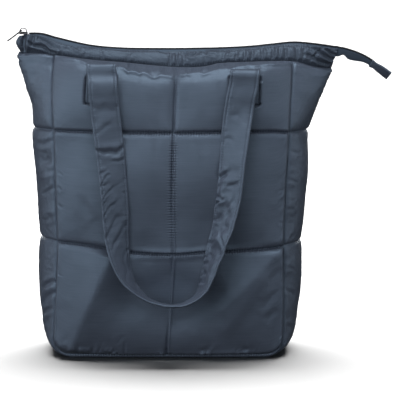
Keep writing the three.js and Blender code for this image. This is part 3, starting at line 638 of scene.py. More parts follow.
def build_strap(name, side, seed, creases):
    rows = np.array(STRAP, float)
    k = np.arange(len(rows))
    cx, cz, co, ct = (curve(k, rows[:, j]) for j in range(4))
    f = np.linspace(0, len(rows) - 1, 2400)
    x, z, off, turn = cx(f), cz(f), co(f), ct(f)
    turn = np.radians(turn + 14 * bell(z - 302, 26) * smooth(0, 10, x))
    w = np.array([-0.5, -0.25, 0, 0.25, 0.5])[:, None]
    depth = np.max(rest_depth(x + w * STRAP_W * np.cos(turn), np.broadcast_to(z, (5, len(z)))) + w * STRAP_W * np.sin(turn), axis=0)
    slope = (rest_depth(x, z + 3) - rest_depth(x, z - 3)) / 6
    depth = depth + STRAP_GAP + STRAP_T / 2 * np.abs(np.cos(turn)) * np.hypot(1, slope) + off
    path = np.stack([x, side * depth, z], axis=1)
    # Where the loop lies on its edge, its inner side hangs a little lower.
    wide = np.stack([np.cos(turn), -side * np.sin(turn), -0.16 * np.sin(turn) * smooth(0.6, 0.9, np.abs(np.sin(turn)))], axis=1)
    s = np.concatenate([[0], np.cumsum(np.linalg.norm(np.diff(path, axis=0), axis=1))])
    length = s[-1]
    # The sewn ends lie sunk in the padding, and past the fold the strap bulges and dips.
    left, right = s, length - s
    out = -7.5 * (1 - smooth(26, 44, np.minimum(left, right)))
    out = out - 1.6 * bell(left - 65, 4.5) + 2.6 * bell(left - 76, np.where(left < 76, 5.5, 16)) + 2.8 * bell(right - 51, 4.0) - 1.8 * bell(right - 66, 9)
    path[:, 1] += side * out
    n = int(length / 1.3)
    at_s = np.linspace(0, length, n)
    pick = lambda a: np.stack([np.interp(at_s, s, a[:, j]) for j in range(3)], axis=1)
    path, wide = pick(path), pick(wide)
    for _ in range(8):
        path[1:-1] = 0.25 * path[:-2] + 0.5 * path[1:-1] + 0.25 * path[2:]
        wide[1:-1] = 0.25 * wide[:-2] + 0.5 * wide[1:-1] + 0.25 * wide[2:]
    al = np.gradient(path, axis=0)
    al /= np.linalg.norm(al, axis=1, keepdims=True)
    wide = wide - al * (wide * al).sum(axis=1, keepdims=True)
    wide /= np.linalg.norm(wide, axis=1, keepdims=True)
    face = np.cross(al, wide)
    # Half the section: across, and the half thickness with a groove at each row of stitches.
    near = np.array([17.25, 17.1, 16.7, 16.0, 15.2, 14.6, 14.2, STRAP_STITCH, 13.4, 13.0, 12.3])
    v = np.concatenate([-near, np.linspace(-11, 11, 17), near[::-1]])
    e = np.clip((17.25 - np.abs(v)) / 1.6, 0, 1)
    half = STRAP_T / 2 * (0.12 + 0.88 * np.sqrt(1 - (1 - e) ** 2))
    half = half - 0.5 * bell(np.abs(v) - STRAP_STITCH, 0.9)
    S, V = np.meshgrid(at_s, v, indexing="ij")
    Zs = np.broadcast_to(path[:, 2:3], S.shape)
    free = smooth(40, 90, S) * smooth(40, 90, length - S)
    low = 1 - smooth(190, 255, Zs)
    wave = 0.9 * fbm(S / 48, V / 30 + 3, seed) + 0.3 * fbm(S / 15, V / 26, seed + 4)
    wave = wave * (0.2 + 0.8 * free)
    wave = wave - 0.8 * low * free * ridged(S / 21 + V / 34, V / 30 - S / 60, seed + 8)
    right_leg = smooth(length * 0.5, length * 0.56, S) * smooth(92, 110, Zs) * (1 - smooth(215, 240, Zs))
    wave = wave + 2.3 * right_leg * (1 - 0.75 * smooth(8, 16, np.abs(V))) * fbm(S / 17, V / 13 + S / 40, seed + 6, 2)
    # Puckers along the stitches.
    wave = wave + 0.28 * vnoise(S / 3.4, np.sign(V) * 5.0, seed + 12) * bell(np.abs(V) - STRAP_STITCH + 1, 3.2) * (0.3 + 0.7 * free)
    for leg, at_z, width, deep, slant, v0, v1 in creases:
        part = (at_s > 75) & (at_s < length / 2) if leg < 0 else (at_s < length - 75) & (at_s > length / 2)
        index = np.flatnonzero(part)[np.argmin(np.abs(path[part, 2] - at_z))]
        # On the right leg the strap's width runs from right to left.
        t = V / 17.25
        ends = smooth(v0 - 0.15, v0 + 0.25, t) * (1 - smooth(v1 - 0.25, v1 + 0.15, t))
        d = S - at_s[index] - slant * V + 3.0 * vnoise(V / 8 + at_z, S / 16, seed + 15) + 0.02 * V * V * np.sign(slant)
        wave = wave + deep * ends * (0.7 * bell(d + 2.1 * width, 1.5 * width) + 0.3 * bell(d - 2.3 * width, 1.5 * width) - bell(d, width))
    outer = path[:, None] + wide[:, None] * V[..., None] + face[:, None] * (wave + half[None])[..., None]
    under = path[:, None] + wide[:, None] * V[..., None] + face[:, None] * (wave - half[None])[..., None]
    rings = np.concatenate([outer, under[:, ::-1]], axis=1)
    verts, faces = tube(rings)
    uv = np.stack([np.concatenate([V, V[:, ::-1]], axis=1), np.concatenate([S, S[:, ::-1]], axis=1)], axis=2).reshape(-1, 2) * MM
    # Its colour is the slightly darkened strap nylon, which holds painted shade.
    ob = new_object(name, verts, faces, uv, mat_strap_painted_shade)
    beside = 0.15 * bell(np.abs(V) - STRAP_STITCH, 1.8)
    marks(ob, tick_v=np.concatenate([beside, beside[:, ::-1]], axis=1))
    rows_at = [int(np.argmin(np.abs(v - q))) for q in (-STRAP_STITCH, STRAP_STITCH)]
    lines = [(outer[:, j], face) for j in rows_at] + [(under[:, j], -face) for j in rows_at]
    thread = stitches(name.replace("cloth", "thread"), lines, 3.4, 0.24, mat_thread, 0.08)
    return ob, thread, outer, under, length


strap_f, strap_f_thread, strap_f_out, strap_f_in, strap_f_length = build_strap("strap_front_cloth", -1, 71, STRAP_CREASES)
strap_b, strap_b_thread, strap_b_out, strap_b_in, strap_b_length = build_strap("strap_back_cloth", 1, 83, STRAP_CREASES[10:16])


def strap_floor(*grids):
    """How near to the bag's middle plane a strap comes, over the panel's across and up."""
    pts = np.concatenate([g.reshape(-1, 3) for g in grids])
    step, x0, z0 = 2.0, -150.0, 0.0
    near = np.full((160, 200), np.inf)
    i = ((pts[:, 0] - x0) / step).astype(int)
    j = ((pts[:, 2] - z0) / step).astype(int)
    np.minimum.at(near, (i, j), np.abs(pts[:, 1]))

    def f(x, z):
        i = np.clip(((x - x0) / step).astype(int), 0, 159)
        j = np.clip(((z - z0) / step).astype(int), 0, 199)
        return near[i, j]

    return f


# ------------------------------------------------------------------ panels
# Soft ridges in the front's padding: from, to, width to the left of that way and to its right, height.
RIDGES = [
    (120, 124, 60, 64, 14, 18, 3.6),
    (104, 96, 64, 40, 9, 12, 1.8),
    (-119, 18, -70, 127, 26, 22, 7.2),
    (-40, 76, 32, 76, 34, 34, -8.4),
    (-48, 158, 46, 158, 34, 34, -3.6),
    (-50, 240, 50, 240, 28, 28, 2.0),
    (44, 190, 48, 170, 28, 28, -2.0),
    (-124, 250, -96, 165, 20, 20, -1.6),
    (20, 60, 60, 30, 26, 26, -2.4),
    (-130, 318, -20, 306, 22, 22, -1.2),
    (24, 306, 132, 312, 22, 22, -1.4),
]
# Small pressed lines on it: from, to, width, depth.
PANEL_CREASES = [
    (-87, 8, -83, 17, 1.5, 0.4), (-79, 8, -74, 15, 1.4, 0.4), (-57, 8, -55, 22, 1.5, 0.5), (-66, 24, -59, 31, 2.2, 0.3),
    (35, 8, 39, 16, 1.6, 0.3), (75, 8, 79, 16, 1.6, 0.3), (99, 9, 103, 18, 1.8, 0.3), (-110, 9, -106, 17, 1.6, 0.3),
    (112, 48, 124, 58, 3.6, 0.5), (106, 68, 126, 82, 4.4, 0.6), (116, 98, 129, 107, 3.4, 0.4), (-136, 225, -130, 222, 1.5, 0.4),
    (-136, 206, -131, 203, 1.4, 0.4), (-136, 188, -130, 184, 1.6, 0.4), (-104, 192, -98, 178, 4.4, 0.7), (-136, 103, -130, 100, 1.5, 0.35),
    (127, 201, 134, 204, 1.6, 0.3), (126, 164, 133, 161, 1.6, 0.35), (-20, 262, -16, 246, 3.4, 0.3), (30, 262, 38, 250, 3.4, 0.3),
]
CELL_A = 42
CELL_B = (42, 46, 34)
CLIMB = 5.6  # how far from a seam the padding reaches its height
PUFF_EDGE = 4.0
PUFF_CROWN = 3.4
BEAD = 5.0  # the piped edge along the foot


def build_panel(side, seed, ridges):
    a = np.concatenate([spread(CELL_A), 1 + spread(CELL_A), [2.0]])
    b = np.concatenate([spread(CELL_B[0]), 1 + spread(CELL_B[1]), 2 + spread(CELL_B[2], 0.5, 0.8), [3.0]])
    brk_i = [0, CELL_A, 2 * CELL_A]
    brk_j = [0, CELL_B[0], CELL_B[0] + CELL_B[1], sum(CELL_B)]
    A, B = np.meshgrid(a, b, indexing="ij")
    X, Z = panel_xz(A, B)
    macro = np.stack([X, side * panel_depth(X, Z), Z], axis=2)
    # du x dv is X x Z = -Y, so it points out of the front.
    N = normals_of(macro, 1.0 if side < 0 else -1.0)
    U, V = along(macro, 0), along(macro, 1)
    fa = A - np.minimum(1, np.floor(A))
    level = np.minimum(2, np.floor(B))
    fb = B - level
    dist_v = np.min([np.abs(U - U[[i]]) for i in brk_i], axis=0)
    below = Z[:, [-1]] - Z  # under the band's seam
    foot = V  # over the foot
    top = smooth(0.2, 2.2, below / cross["drop"](X))
    lines = np.minimum(np.maximum(0, foot - BEAD), np.min([np.abs(V - V[:, [j]]) for j in brk_j[1:3]], axis=0))
    dist_h = np.minimum(lines, V[:, [-1]] - V)
    # The middle seam is pulled in deeper in the top row.
    climb = CLIMB + 5 * smooth(276, 292, Z) * (1 - smooth(30, 50, np.abs(U - U[[brk_i[1]]])))
    # Padding sinks, so that a cell stands steeper over its lower seam than under its upper one.
    over = np.where(level == 0, np.maximum(0, foot - BEAD), np.where(level == 1, V - V[:, [brk_j[1]]], V - V[:, [brk_j[2]]]))
    under = np.where(level == 0, V[:, [brk_j[1]]] - V, np.where(level == 1, V[:, [brk_j[2]]] - V, 99.0))
    apart = np.abs(U - U[[brk_i[1]]])
    shallow = 0.5 * (1 - smooth(262, 280, Z)) * (1 - smooth(20, 40, apart))
    puff = lerp(rise(dist_v, climb), 1.0, shallow) * rise(over, 0.7 * CLIMB) * rise(under, 1.3 * CLIMB) * top
    crown = swell(fa, 2) * swell(fb, 2)
    height = PUFF_EDGE * puff + PUFF_CROWN * crown + 0.55 * puff * fbm(X / 42, Z / 42, seed)
    for x0, z0, x1, z1, left, right, high in ridges:
        d, t = line_distance(X, Z, x0, z0, x1, z1)
        turned = (x1 - x0) * (Z - z0) - (z1 - z0) * (X - x0)
        width = lerp(right, left, smooth(-600, 600, turned))
        fold = np.exp(-(np.sqrt(d * d + 16) - 4) / (0.8 * width)) if high > 3 else bell(d, width)
        height = height + high * fold * puff * smooth(0, 9, lines)
    # The outer seams sit a little inside the wall, so that neighbours meet in a groove.
    edge = np.minimum(np.minimum(U, U[[-1]] - U), np.minimum(V, V[:, [-1]] - V))
    across = np.min([np.abs(V - V[:, [j]]) for j in brk_j[1:3]], axis=0)
    deep = lerp(0.9, 1.9, smooth(262, 280, Z))
    height = height + SKIN - 1.4 * np.exp(-edge / 3) - 0.7 * np.exp(-edge / 1.2) - np.maximum(1.5 * np.exp(-across / 1.6), deep * np.exp(-apart / 1.3))
    height = 0.4 + 0.5 * (height - 0.4 + np.sqrt((height - 0.4) ** 2 + 2.0))
    start = macro + N * height[..., None]
    rng = np.random.RandomState(seed)
    noisy = start + N * (0.3 * puff * rng.uniform(-1, 1, X.shape))[..., None]
    # The cloth is longer than its seams: it was gathered as they were sewn.
    gather = 0.75 + 0.35 * vnoise(U / 50, V / 50, seed + 2)
    alt_j = np.where(np.arange(len(b)) % 2 == 0, 1.0, -1.0)[None, :]
    alt_i = np.where(np.arange(len(a)) % 2 == 0, 1.0, -1.0)[:, None]
    ripple = gather * (np.exp(-dist_v / 10) * alt_j + np.exp(-dist_h / 10) * alt_i) * top
    middle = start.mean(axis=(0, 1))
    rest = middle + (start - middle) * 1.02 + N * ripple[..., None]
    pinned = np.zeros(X.shape, bool)
    pinned[brk_i, :] = True
    pinned[:, brk_j] = True
    pinned |= foot < BEAD
    noisy[pinned] = start[pinned]
    cloth = simulate("panel", noisy, rest, pinned, pressure=4.0, flip=side > 0)
    # Caps how far the cloth may stand off its shape, and keeps it out of the bag.
    out = ((cloth - start) * N).sum(axis=2)
    # Beside a seam it keeps the steep groove that the stitches pull.
    free = 0.05 + 0.25 * smooth(2, 30, dist_v) * smooth(2, 30, lines)
    cloth = start + free[..., None] * (cloth - start + N * (4.0 * np.tanh(out / 4.0) - out)[..., None])
    fine = refine(cloth, brk_i, brk_j, 3)
    info = refine(np.stack([U, V, dist_v, dist_h, below, X, Z, cross["drop"](X), np.abs(U - U[[brk_i[1]]])], axis=2), brk_i, brk_j, 3)
    NF = refine(N, brk_i, brk_j, 3)
    NF /= np.linalg.norm(NF, axis=2, keepdims=True)
    return fine, info, NF, macro, N, [3 * i for i in brk_i], [3 * j for j in brk_j]


def finish_panel(name, side, seed, made, creases, floor):
    fine, info, NF, macro, N, brk_i, brk_j = made
    u, v, dv, dh, below, x, z, drop, dm = (info[..., k] for k in range(9))
    dv, dh, below, v = (np.maximum(q, 0) for q in (dv, dh, below, v))
    off = np.zeros(x.shape)
    # Puckers where the stitches pull the cloth in.
    pull = 0.55 + 0.45 * vnoise(u / 45, v / 45, seed + 3)
    off += 0.6 * pull * np.exp(-dv / 7) * smooth(0, 2.5, dv) * vnoise(v / 7.5, u / 60, seed + 5)
    off += 0.6 * pull * np.exp(-dh / 7) * smooth(0, 2.5, dh) * vnoise(u / 7.5, v / 60, seed + 9)
    off += creased(x, z, creases)
    # Small star-like puckers over the foot and beside the outer seams.
    spots = smooth(0.0, 0.5, vnoise(u / 24, v / 24, seed + 52) + 0.5 * bell(x + 70, 26) * bell(v, 30))
    off += 1.7 * spots * vnoise(u / 4.4, v / 6.5, seed + 51) * bell(v - 10, 7) * smooth(5, 8, v)
    off += 0.9 * spots * vnoise(u / 6.0, v / 4.2, seed + 53) * np.exp(-np.where(dm < 20, 99, dv) / 5) * smooth(0, 2, dv) * smooth(8, 16, v)
    # The shoulder turns down in an uneven fold, and small gathers run up from it to the band.
    t = below / drop
    turn = 0.95 + 0.16 * vnoise(x / 10, 0 * x, seed + 21) + 0.1 * vnoise(x / 3.4, 0 * x, seed + 22)
    clear = smooth(0, 5, dm) * smooth(0, 4, dv)
    off += 2.1 * bell((t - turn) * drop, 1.15) * clear * (0.65 + 0.35 * vnoise(x / 17, 0 * x, seed + 23))
    off += 1.25 * vnoise(x / 3.8, t * 0.6, seed + 24) * smooth(0.05, 0.3, t) * (1 - smooth(0.5, 0.85, t))
    off += 0.35 * vnoise(x / 6.5, t * 0.3, seed + 25) * smooth(0.6, 1.0, t) * (1 - smooth(1.2, 4.0, t)) * clear
    # The cloth stands in a thin roll right of the middle seam and under each seam across.
    right = np.where(np.arange(len(x))[:, None] >= brk_i[1], dm, 99.0)
    off += 1.7 * bell(right - 2.0, 1.0) * (1 - smooth(258, 270, z)) * smooth(0, 6, np.maximum(0, dh))
    for j in brk_j[1:3]:
        drop_j = np.where(np.arange(x.shape[1])[None, :] <= j, v[:, [j]] - v, 99.0)
        off += 0.7 * bell(drop_j - 1.9, 0.9) * smooth(0, 5, dv) * (0.7 + 0.3 * vnoise(u / 3.1, 0 * u, seed + 41))
    # A piped edge along the foot.
    off += 1.6 * np.sqrt(np.maximum(0, 1 - ((v - 2.2) / 2.3) ** 2))
    fine = fine + NF * off[..., None]
    # A strap and its sewn ends press the padding in.
    depth = np.abs(fine[..., 1])
    limit = floor(fine[..., 0], fine[..., 2]) - 0.4
    press = np.maximum(0, depth - limit)
    press[~np.isfinite(press)] = 0
    soft = np.maximum(press, 0.8 * blurred(press, 4))
    fine[..., 1] -= side * soft
    step_i = np.linspace(0, macro.shape[0] - 1, 13).round().astype(int)
    step_j = np.unique(np.concatenate([np.linspace(0, macro.shape[1] - 1, 16), np.linspace(macro.shape[1] - 12, macro.shape[1] - 1, 6)]).round().astype(int))
    inner = (macro - N * SKIN)[np.ix_(step_i, step_j)]
    ob = shell(name, fine, inner, np.stack([u, v], axis=2) * MM, mat_nylon)
    strong = 0.12 + 0.5 * smooth(140, 158, z) * (1 - smooth(256, 268, z))
    tick_v = strong * bell(dm, 5.0) + 0.06 * bell(np.where(dm < 20, 99, dv), 2.5)
    line = np.minimum(np.abs(v - v[:, [brk_j[1]]]), np.abs(v - v[:, [brk_j[2]]]))
    tick_u = (0.55 + 0.45 * vnoise(u / 38, 0 * u, seed + 31)) * bell(line, 2.8) + 0.4 * bell(np.maximum(0, v - BEAD), 2.4)
    marks(ob, tick_u=tick_u, tick_v=tick_v)
    lines = [(fine[brk_i[1], :-3], NF[brk_i[1], :-3])] + [(fine[:, j], NF[:, j]) for j in brk_j[1:3]]
    return ob, stitches(name.replace("cloth", "thread"), lines, 3.1, 0.26, mat_thread, 0.1)


front, front_thread = finish_panel("front_cloth", -1, 11, build_panel(-1, 11, RIDGES), PANEL_CREASES, strap_floor(strap_f_out, strap_f_in))
back, back_thread = finish_panel("back_cloth", 1, 23, build_panel(1, 23, RIDGES[9:]), PANEL_CREASES[:8], strap_floor(strap_b_out, strap_b_in))

# ------------------------------------------------------------------ gusset
WING_L, WING_R = -150.0, 155.0
GUSSET_ACROSS = 40
SIDE_ROWS = (38, 42, 36)
# Dents and pressed lines in the sides, seen flat: side, depth in front of the middle, up, and
# the other end, width, depth.
SIDE_CREASES = [
    (-1, -46, 92, -26, 80, 2.6, 1.5), (-1, -46, 78, -22, 62, 2.6, 1.5), (-1, -46, 60, -24, 48, 2.8, 1.5), (-1, -40, 44, -20, 34, 2.8, 1.0),
    (-1, -46, 172, -30, 166, 2.4, 0.9), (-1, -46, 205, -30, 198, 2.4, 0.9), (-1, -44, 226, -28, 222, 2.4, 0.8), (-1, -40, 262, -24, 256, 2.6, 1.0),
    (1, -46, 82, -34, 74, 2.4, 0.7), (1, -46, 110, -36, 106, 2.2, 0.5), (1, -46, 40, -30, 32, 2.6, 0.7), (1, -46, 180, -38, 178, 2.2, 0.5),
    (1, -46, 216, -36, 212, 2.2, 0.5), (1, -42, 250, -30, 247, 2.4, 0.5), (-1, 46, 100, 24, 84, 2.6, 1.3), (-1, 44, 210, 26, 200, 2.6, 1.0),
    (1, 46, 96, 24, 84, 2.6, 1.3), (1, 44, 200, 26, 190, 2.6, 1.0),
]
# Soft dents in the wings: side, depth, up, width, depth of the dent.
WING_DENTS = [(-1, -34, 240, 9, 4.2), (-1, -34, 223, 9, -2.0), (-1, -30, 200, 12, 1.6), (-1, -11, 336, 9, 3.0), (-1, -20, 312, 12, 2.0), (-1, -8, 352, 6, 1.4), (1, -12, 330, 11, 1.6), (1, -24, 304, 14, 1.6), (-1, 12, 330, 10, 2.0), (1, 12, 334, 10, 2.0)]


def build_gusset(seed):
    t = np.linspace(-1, 1, GUSSET_ACROSS + 1)
    w = t + 0.4 * np.sin(np.pi * t) / np.pi
    foot_l = float(body["seamL"](CORNER_R)) + CORNER_R
    foot_r = float(body["seamR"](CORNER_R)) - CORNER_R
    rows = []  # points, padding, crown, crease, pinned, side

    def side_rows(side):
        seam, tip = (body["seamL"], body["tipL"]) if side < 0 else (body["seamR"], body["tipR"])
        wing = WING_L if side < 0 else WING_R
        lines = [CORNER_R + SKIN, float(cross["low"](wing)), float(cross["high"](wing)), float(cross["band"](wing)) - SEAM_GAP]
        made = []
        for b in range(3):
            shares = spread(SIDE_ROWS[b], 0.0 if b == 0 else 0.5, 0.5)
            for k, s in enumerate(np.append(shares, 1.0) if b == 2 else shares):
                z = lerp(lines[b], lines[b + 1], s)
                x = seam(z) + (tip(z) - seam(z)) * (1 - np.abs(w) ** body["fold"](z))
                up = (cross["band"](x) - cross["band"](wing)) * (s**2 if b == 2 else 0)
                pts = np.stack([x, w * (float(body["depth"](z)) - 0.4), np.full_like(x, z) + up], axis=1)
                crown = float(swell(max(0.5, s) if b == 0 else s, 2))
                crease = float(np.clip((2 - body["fold"](z)) / 0.8, 0, 1))
                made.append((pts, 1.0, crown, crease, (k == 0 and b > 0) or (b == 2 and s == 1.0), side))
        return made

    def corner_rows(side):
        made = []
        reach = abs(float((body["tipL"] if side < 0 else body["tipR"])(CORNER_R)) - float((body["seamL"] if side < 0 else body["seamR"])(CORNER_R)))
        for q in np.arange(1, 12) / 12:
            turn = q * math.pi / 2
            r = CORNER_R + reach * math.cos(turn) ** 2 * (1 - np.abs(w) ** 2.4)
            x = (foot_l if side < 0 else foot_r) + side * r * math.cos(turn)
            depth = float(body["depth"](CORNER_R * (1 - q))) - 0.4
            pts = np.stack([x, w * depth, np.full_like(x, SKIN + CORNER_R - CORNER_R * math.sin(turn))], axis=1)
            made.append((pts, math.cos(turn) ** 2, 1.0, 0.0, False, side))
        return made

    rows += side_rows(-1)[::-1] + corner_rows(-1)
    for q in np.linspace(0, 1, 14):
        x = np.full_like(w, lerp(foot_l, foot_r, q))
        rows.append((np.stack([x, w * (float(body["depth"](0)) - 0.4), np.full_like(w, SKIN)], axis=1), 0.0, 0.0, 0.0, True, 0))
    rows += corner_rows(1)[::-1] + side_rows(1)
    macro = np.stack([r[0] for r in rows])
    pad, crown, crease = (np.array([r[k] for r in rows])[:, None] for k in (1, 2, 3))
    pin_rows = np.array([r[4] for r in rows])
    which = np.array([r[5] for r in rows])[:, None]
    flat_rows = np.flatnonzero(pad[:, 0] == 0)
    # du x dv points into the bag here.
    N = normals_of(macro, -1.0)
    S, W = along(macro, 0), along(macro, 1)
    S = np.broadcast_to(S[:, [GUSSET_ACROSS // 2]], S.shape).copy()
    wide = W[:, -1:]
    edge = np.minimum(W, wide - W)
    brk = [0] + [int(k) for k in np.flatnonzero(pin_rows) if 0 < k < len(rows) - 1 and k not in flat_rows] + [len(rows) - 1]
    dist_h = np.min([np.abs(S - S[[k]]) for k in brk], axis=0)
    hold = rise(edge, 8) * rise(dist_h, 6)
    height = 1.9 * hold + 0.9 * crown * swell(W / wide, 2) + 0.9 * hold * fbm(S / 36, W / 36, seed)
    height = height * (1 - crease * np.exp(-np.abs(W - wide / 2) / 8))
    Y, Z = macro[..., 1], macro[..., 2]
    for s, y0, z0, width, deep in WING_DENTS:
        height = height - np.where(which == s, deep * bell(np.hypot(Y - y0, (Z - z0) * 0.8), width), 0) * hold
    height = pad * (height - (1.1 + 1.1 * smooth(240, 262, Z)) * np.exp(-dist_h / (1.8 + 0.8 * smooth(240, 262, Z)))) + SKIN * smooth(0, 3, edge) - 0.9 * np.exp(-edge / 2.5)
    rim = np.minimum(S, S[-1:] - S)
    height = height - 1.8 * np.exp(-rim / 2.5) * pad + 0.9 * bell(rim - 5.5, 2.4) * smooth(2, 8, edge)
    height[flat_rows] = SKIN
    start = macro + N * height[..., None]
    rng = np.random.RandomState(seed)
    noisy = start + N * (0.35 * hold * pad * rng.uniform(-1, 1, S.shape))[..., None]
    pinned = np.zeros(S.shape, bool)
    pinned[:, [0, -1]] = True
    pinned[pin_rows] = True
    noisy[pinned] = start[pinned]
    alt_i = np.where(np.arange(len(rows)) % 2 == 0, 1.0, -1.0)[:, None]
    alt_j = np.where(np.arange(len(w)) % 2 == 0, 1.0, -1.0)[None, :]
    gather = 0.75 + 0.35 * vnoise(S / 50, W / 50, seed + 2)
    ripple = gather * (np.exp(-edge / 10) * alt_i + np.exp(-dist_h / 10) * alt_j) * pad
    middle = start.mean(axis=(0, 1))
    rest = middle + (start - middle) * 1.02 + N * ripple[..., None]
    cloth = simulate("gusset", noisy, rest, pinned, pressure=3.0, flip=True)
    out = ((cloth - start) * N).sum(axis=2)
    free = 0.25 + 0.45 * smooth(2, 12, np.minimum(edge, dist_h))
    cloth = start + free[..., None] * (cloth - start + N * (np.clip(out, -2.5, 2.5) - out)[..., None])
    ends = [0, len(w) - 1]
    fine = refine(cloth, brk, ends, 2)
    info = refine(np.stack([S, W, dist_h, edge, Y, Z, np.broadcast_to(which, S.shape), np.broadcast_to(pad, S.shape)], axis=2), brk, ends, 2)
    NF = refine(N, brk, ends, 2)
    NF /= np.linalg.norm(NF, axis=2, keepdims=True)
    s, q, dh, de, y, z, sd, pd = (info[..., k] for k in range(8))
    dh, de = np.maximum(dh, 0), np.maximum(de, 0)
    off = 0.6 * np.exp(-de / 8) * smooth(0, 2.5, de) * vnoise(s / 7.5, q / 60, seed + 5)
    off += 0.7 * np.exp(-dh / 8) * smooth(0, 2.5, dh) * vnoise(q / 7.5, s / 60, seed + 9)
    for sign in (-1, 1):
        table = [r[1:] for r in SIDE_CREASES if r[0] == sign]
        off += np.where(np.abs(sd - sign) < 0.5, creased(y, z, table), 0)
    fine = fine + NF * (off * np.clip(pd, 0, 1))[..., None]
    fine[..., 2] = np.maximum(fine[..., 2], 0.0)
    step_i = np.unique(np.concatenate([np.arange(0, len(rows), 8), flat_rows, [len(rows) - 1]]))
    step_j = np.linspace(0, len(w) - 1, 9).round().astype(int)
    inner = (macro - N * SKIN)[np.ix_(step_i, step_j)]
    ob = shell("gusset_cloth", fine, inner, np.stack([q, s], axis=2) * MM, mat_nylon)
    marks(ob, tick_u=0.5 * bell(dh, 2.8) * np.clip(pd, 0, 1), tick_v=0.06 * bell(de, 2.5) * np.clip(pd, 0, 1))
    lines = [(fine[2 * k], NF[2 * k]) for k in brk[1:-1]]
    return ob, stitches("gusset_thread", lines, 3.1, 0.26, mat_thread, 0.1)


gusset, gusset_thread = build_gusset(37)

# ------------------------------------------------------------------ top band
band_left = curve([r[0] for r in BAND_END], [r[1] for r in BAND_END])
band_right = curve([r[0] for r in BAND_END], [r[2] for r in BAND_END])
ZIP_Y = BAND_T / 2 + TAPE_T + 0.55
# Gathers that stand up from the seam: across, width, depth, lean.
GATHERS = [
    (-2, 1.8, 1.4, 0.05), (6, 1.8, 1.4, -0.1), (14, 2.0, 0.8, 0.1), (62, 2.0, 0.8, 0.2), (77, 1.8, 1.1, 0.1), (87, 1.7, 1.2, 0.0), (96, 1.9, 1.4, 0.1), (108, 1.7, 1.3, -0.1),
    (121, 2.0, 1.6, 0.05), (128, 1.6, 0.9, 0.1), (136, 2.0, 1.5, 0.0), (149, 2.0, 1.7, -0.05), (157, 1.6, 1.0, 0.2), (-52, 2.0, 0.6, 0.2), (-84, 2.0, 0.7, -0.2), (-104, 2.2, 0.7, 0.1), (40, 2.2, 0.6, 0.0),
]
# Pressed lines across it: from, to, width, depth.
BAND_CREASES = [
    (-10, 368, 30, 360, 1.4, 1.3), (-28, 367, -4, 363, 1.6, 0.8), (26, 367, 52, 362, 1.6, 0.9), (-90, 371, -56, 366, 1.5, 0.7),
    (164, 372, 192, 357, 1.8, 1.8), (176, 373, 195, 362, 1.7, 1.6), (158, 362, 186, 352, 1.8, 1.5), (166, 356, 180, 366, 1.6, 1.1), (186, 370, 194, 356, 1.6, 1.2),
    (-162, 381, -138, 370, 1.8, 1.6), (-150, 384, -124, 372, 1.6, 1.2), (-172, 376, -150, 369, 1.7, 1.3), (-136, 379, -108, 366, 1.5, 0.9), (-175.5, 386, -177, 367, 2.2, 3.0), (-167, 384, -168, 374, 1.8, 1.2),
    (-183, 380, -178, 372, 1.4, 0.9), (-160, 370, -140, 366, 1.4, 0.9),
]
# Where the band's top edge droops off the zip: across, width, drop.
DROOPS = [(-136, 15, 4.2), (-112, 10, 2.2), (4, 16, 2.4), (30, 14, 2.2), (70, 12, 1.0), (170, 14, 1.6)]


def band_foot_y(x):
    z = cross["band"](x)
    l, r = body["seamL"](z), body["seamR"](z)
    share = np.where(x < l, (x - l) / (body["tipL"](z) - l), np.where(x > r, (x - r) / (body["tipR"](z) - r), 0))
    return np.where((x >= l) & (x <= r), panel_depth(x, z), lerp(body["depth"](z), ZIP_Y, np.minimum(1, share)))


def band_point(t, rise_):
    """Half of the band's middle surface: across, depth from the middle plane, up."""
    x = lerp(band_left(rise_), band_right(rise_), t)
    z0, z1 = cross["band"](x) + SEAM_GAP, cross["zip"](x) - 2
    out = 2.2 * np.sin(np.pi * rise_) * np.minimum(1, np.minimum(t / 0.02, (1 - t) / 0.02))
    return np.stack([x, lerp(band_foot_y(x), ZIP_Y, rise_) + out, lerp(z0, z1, rise_)], axis=-1)


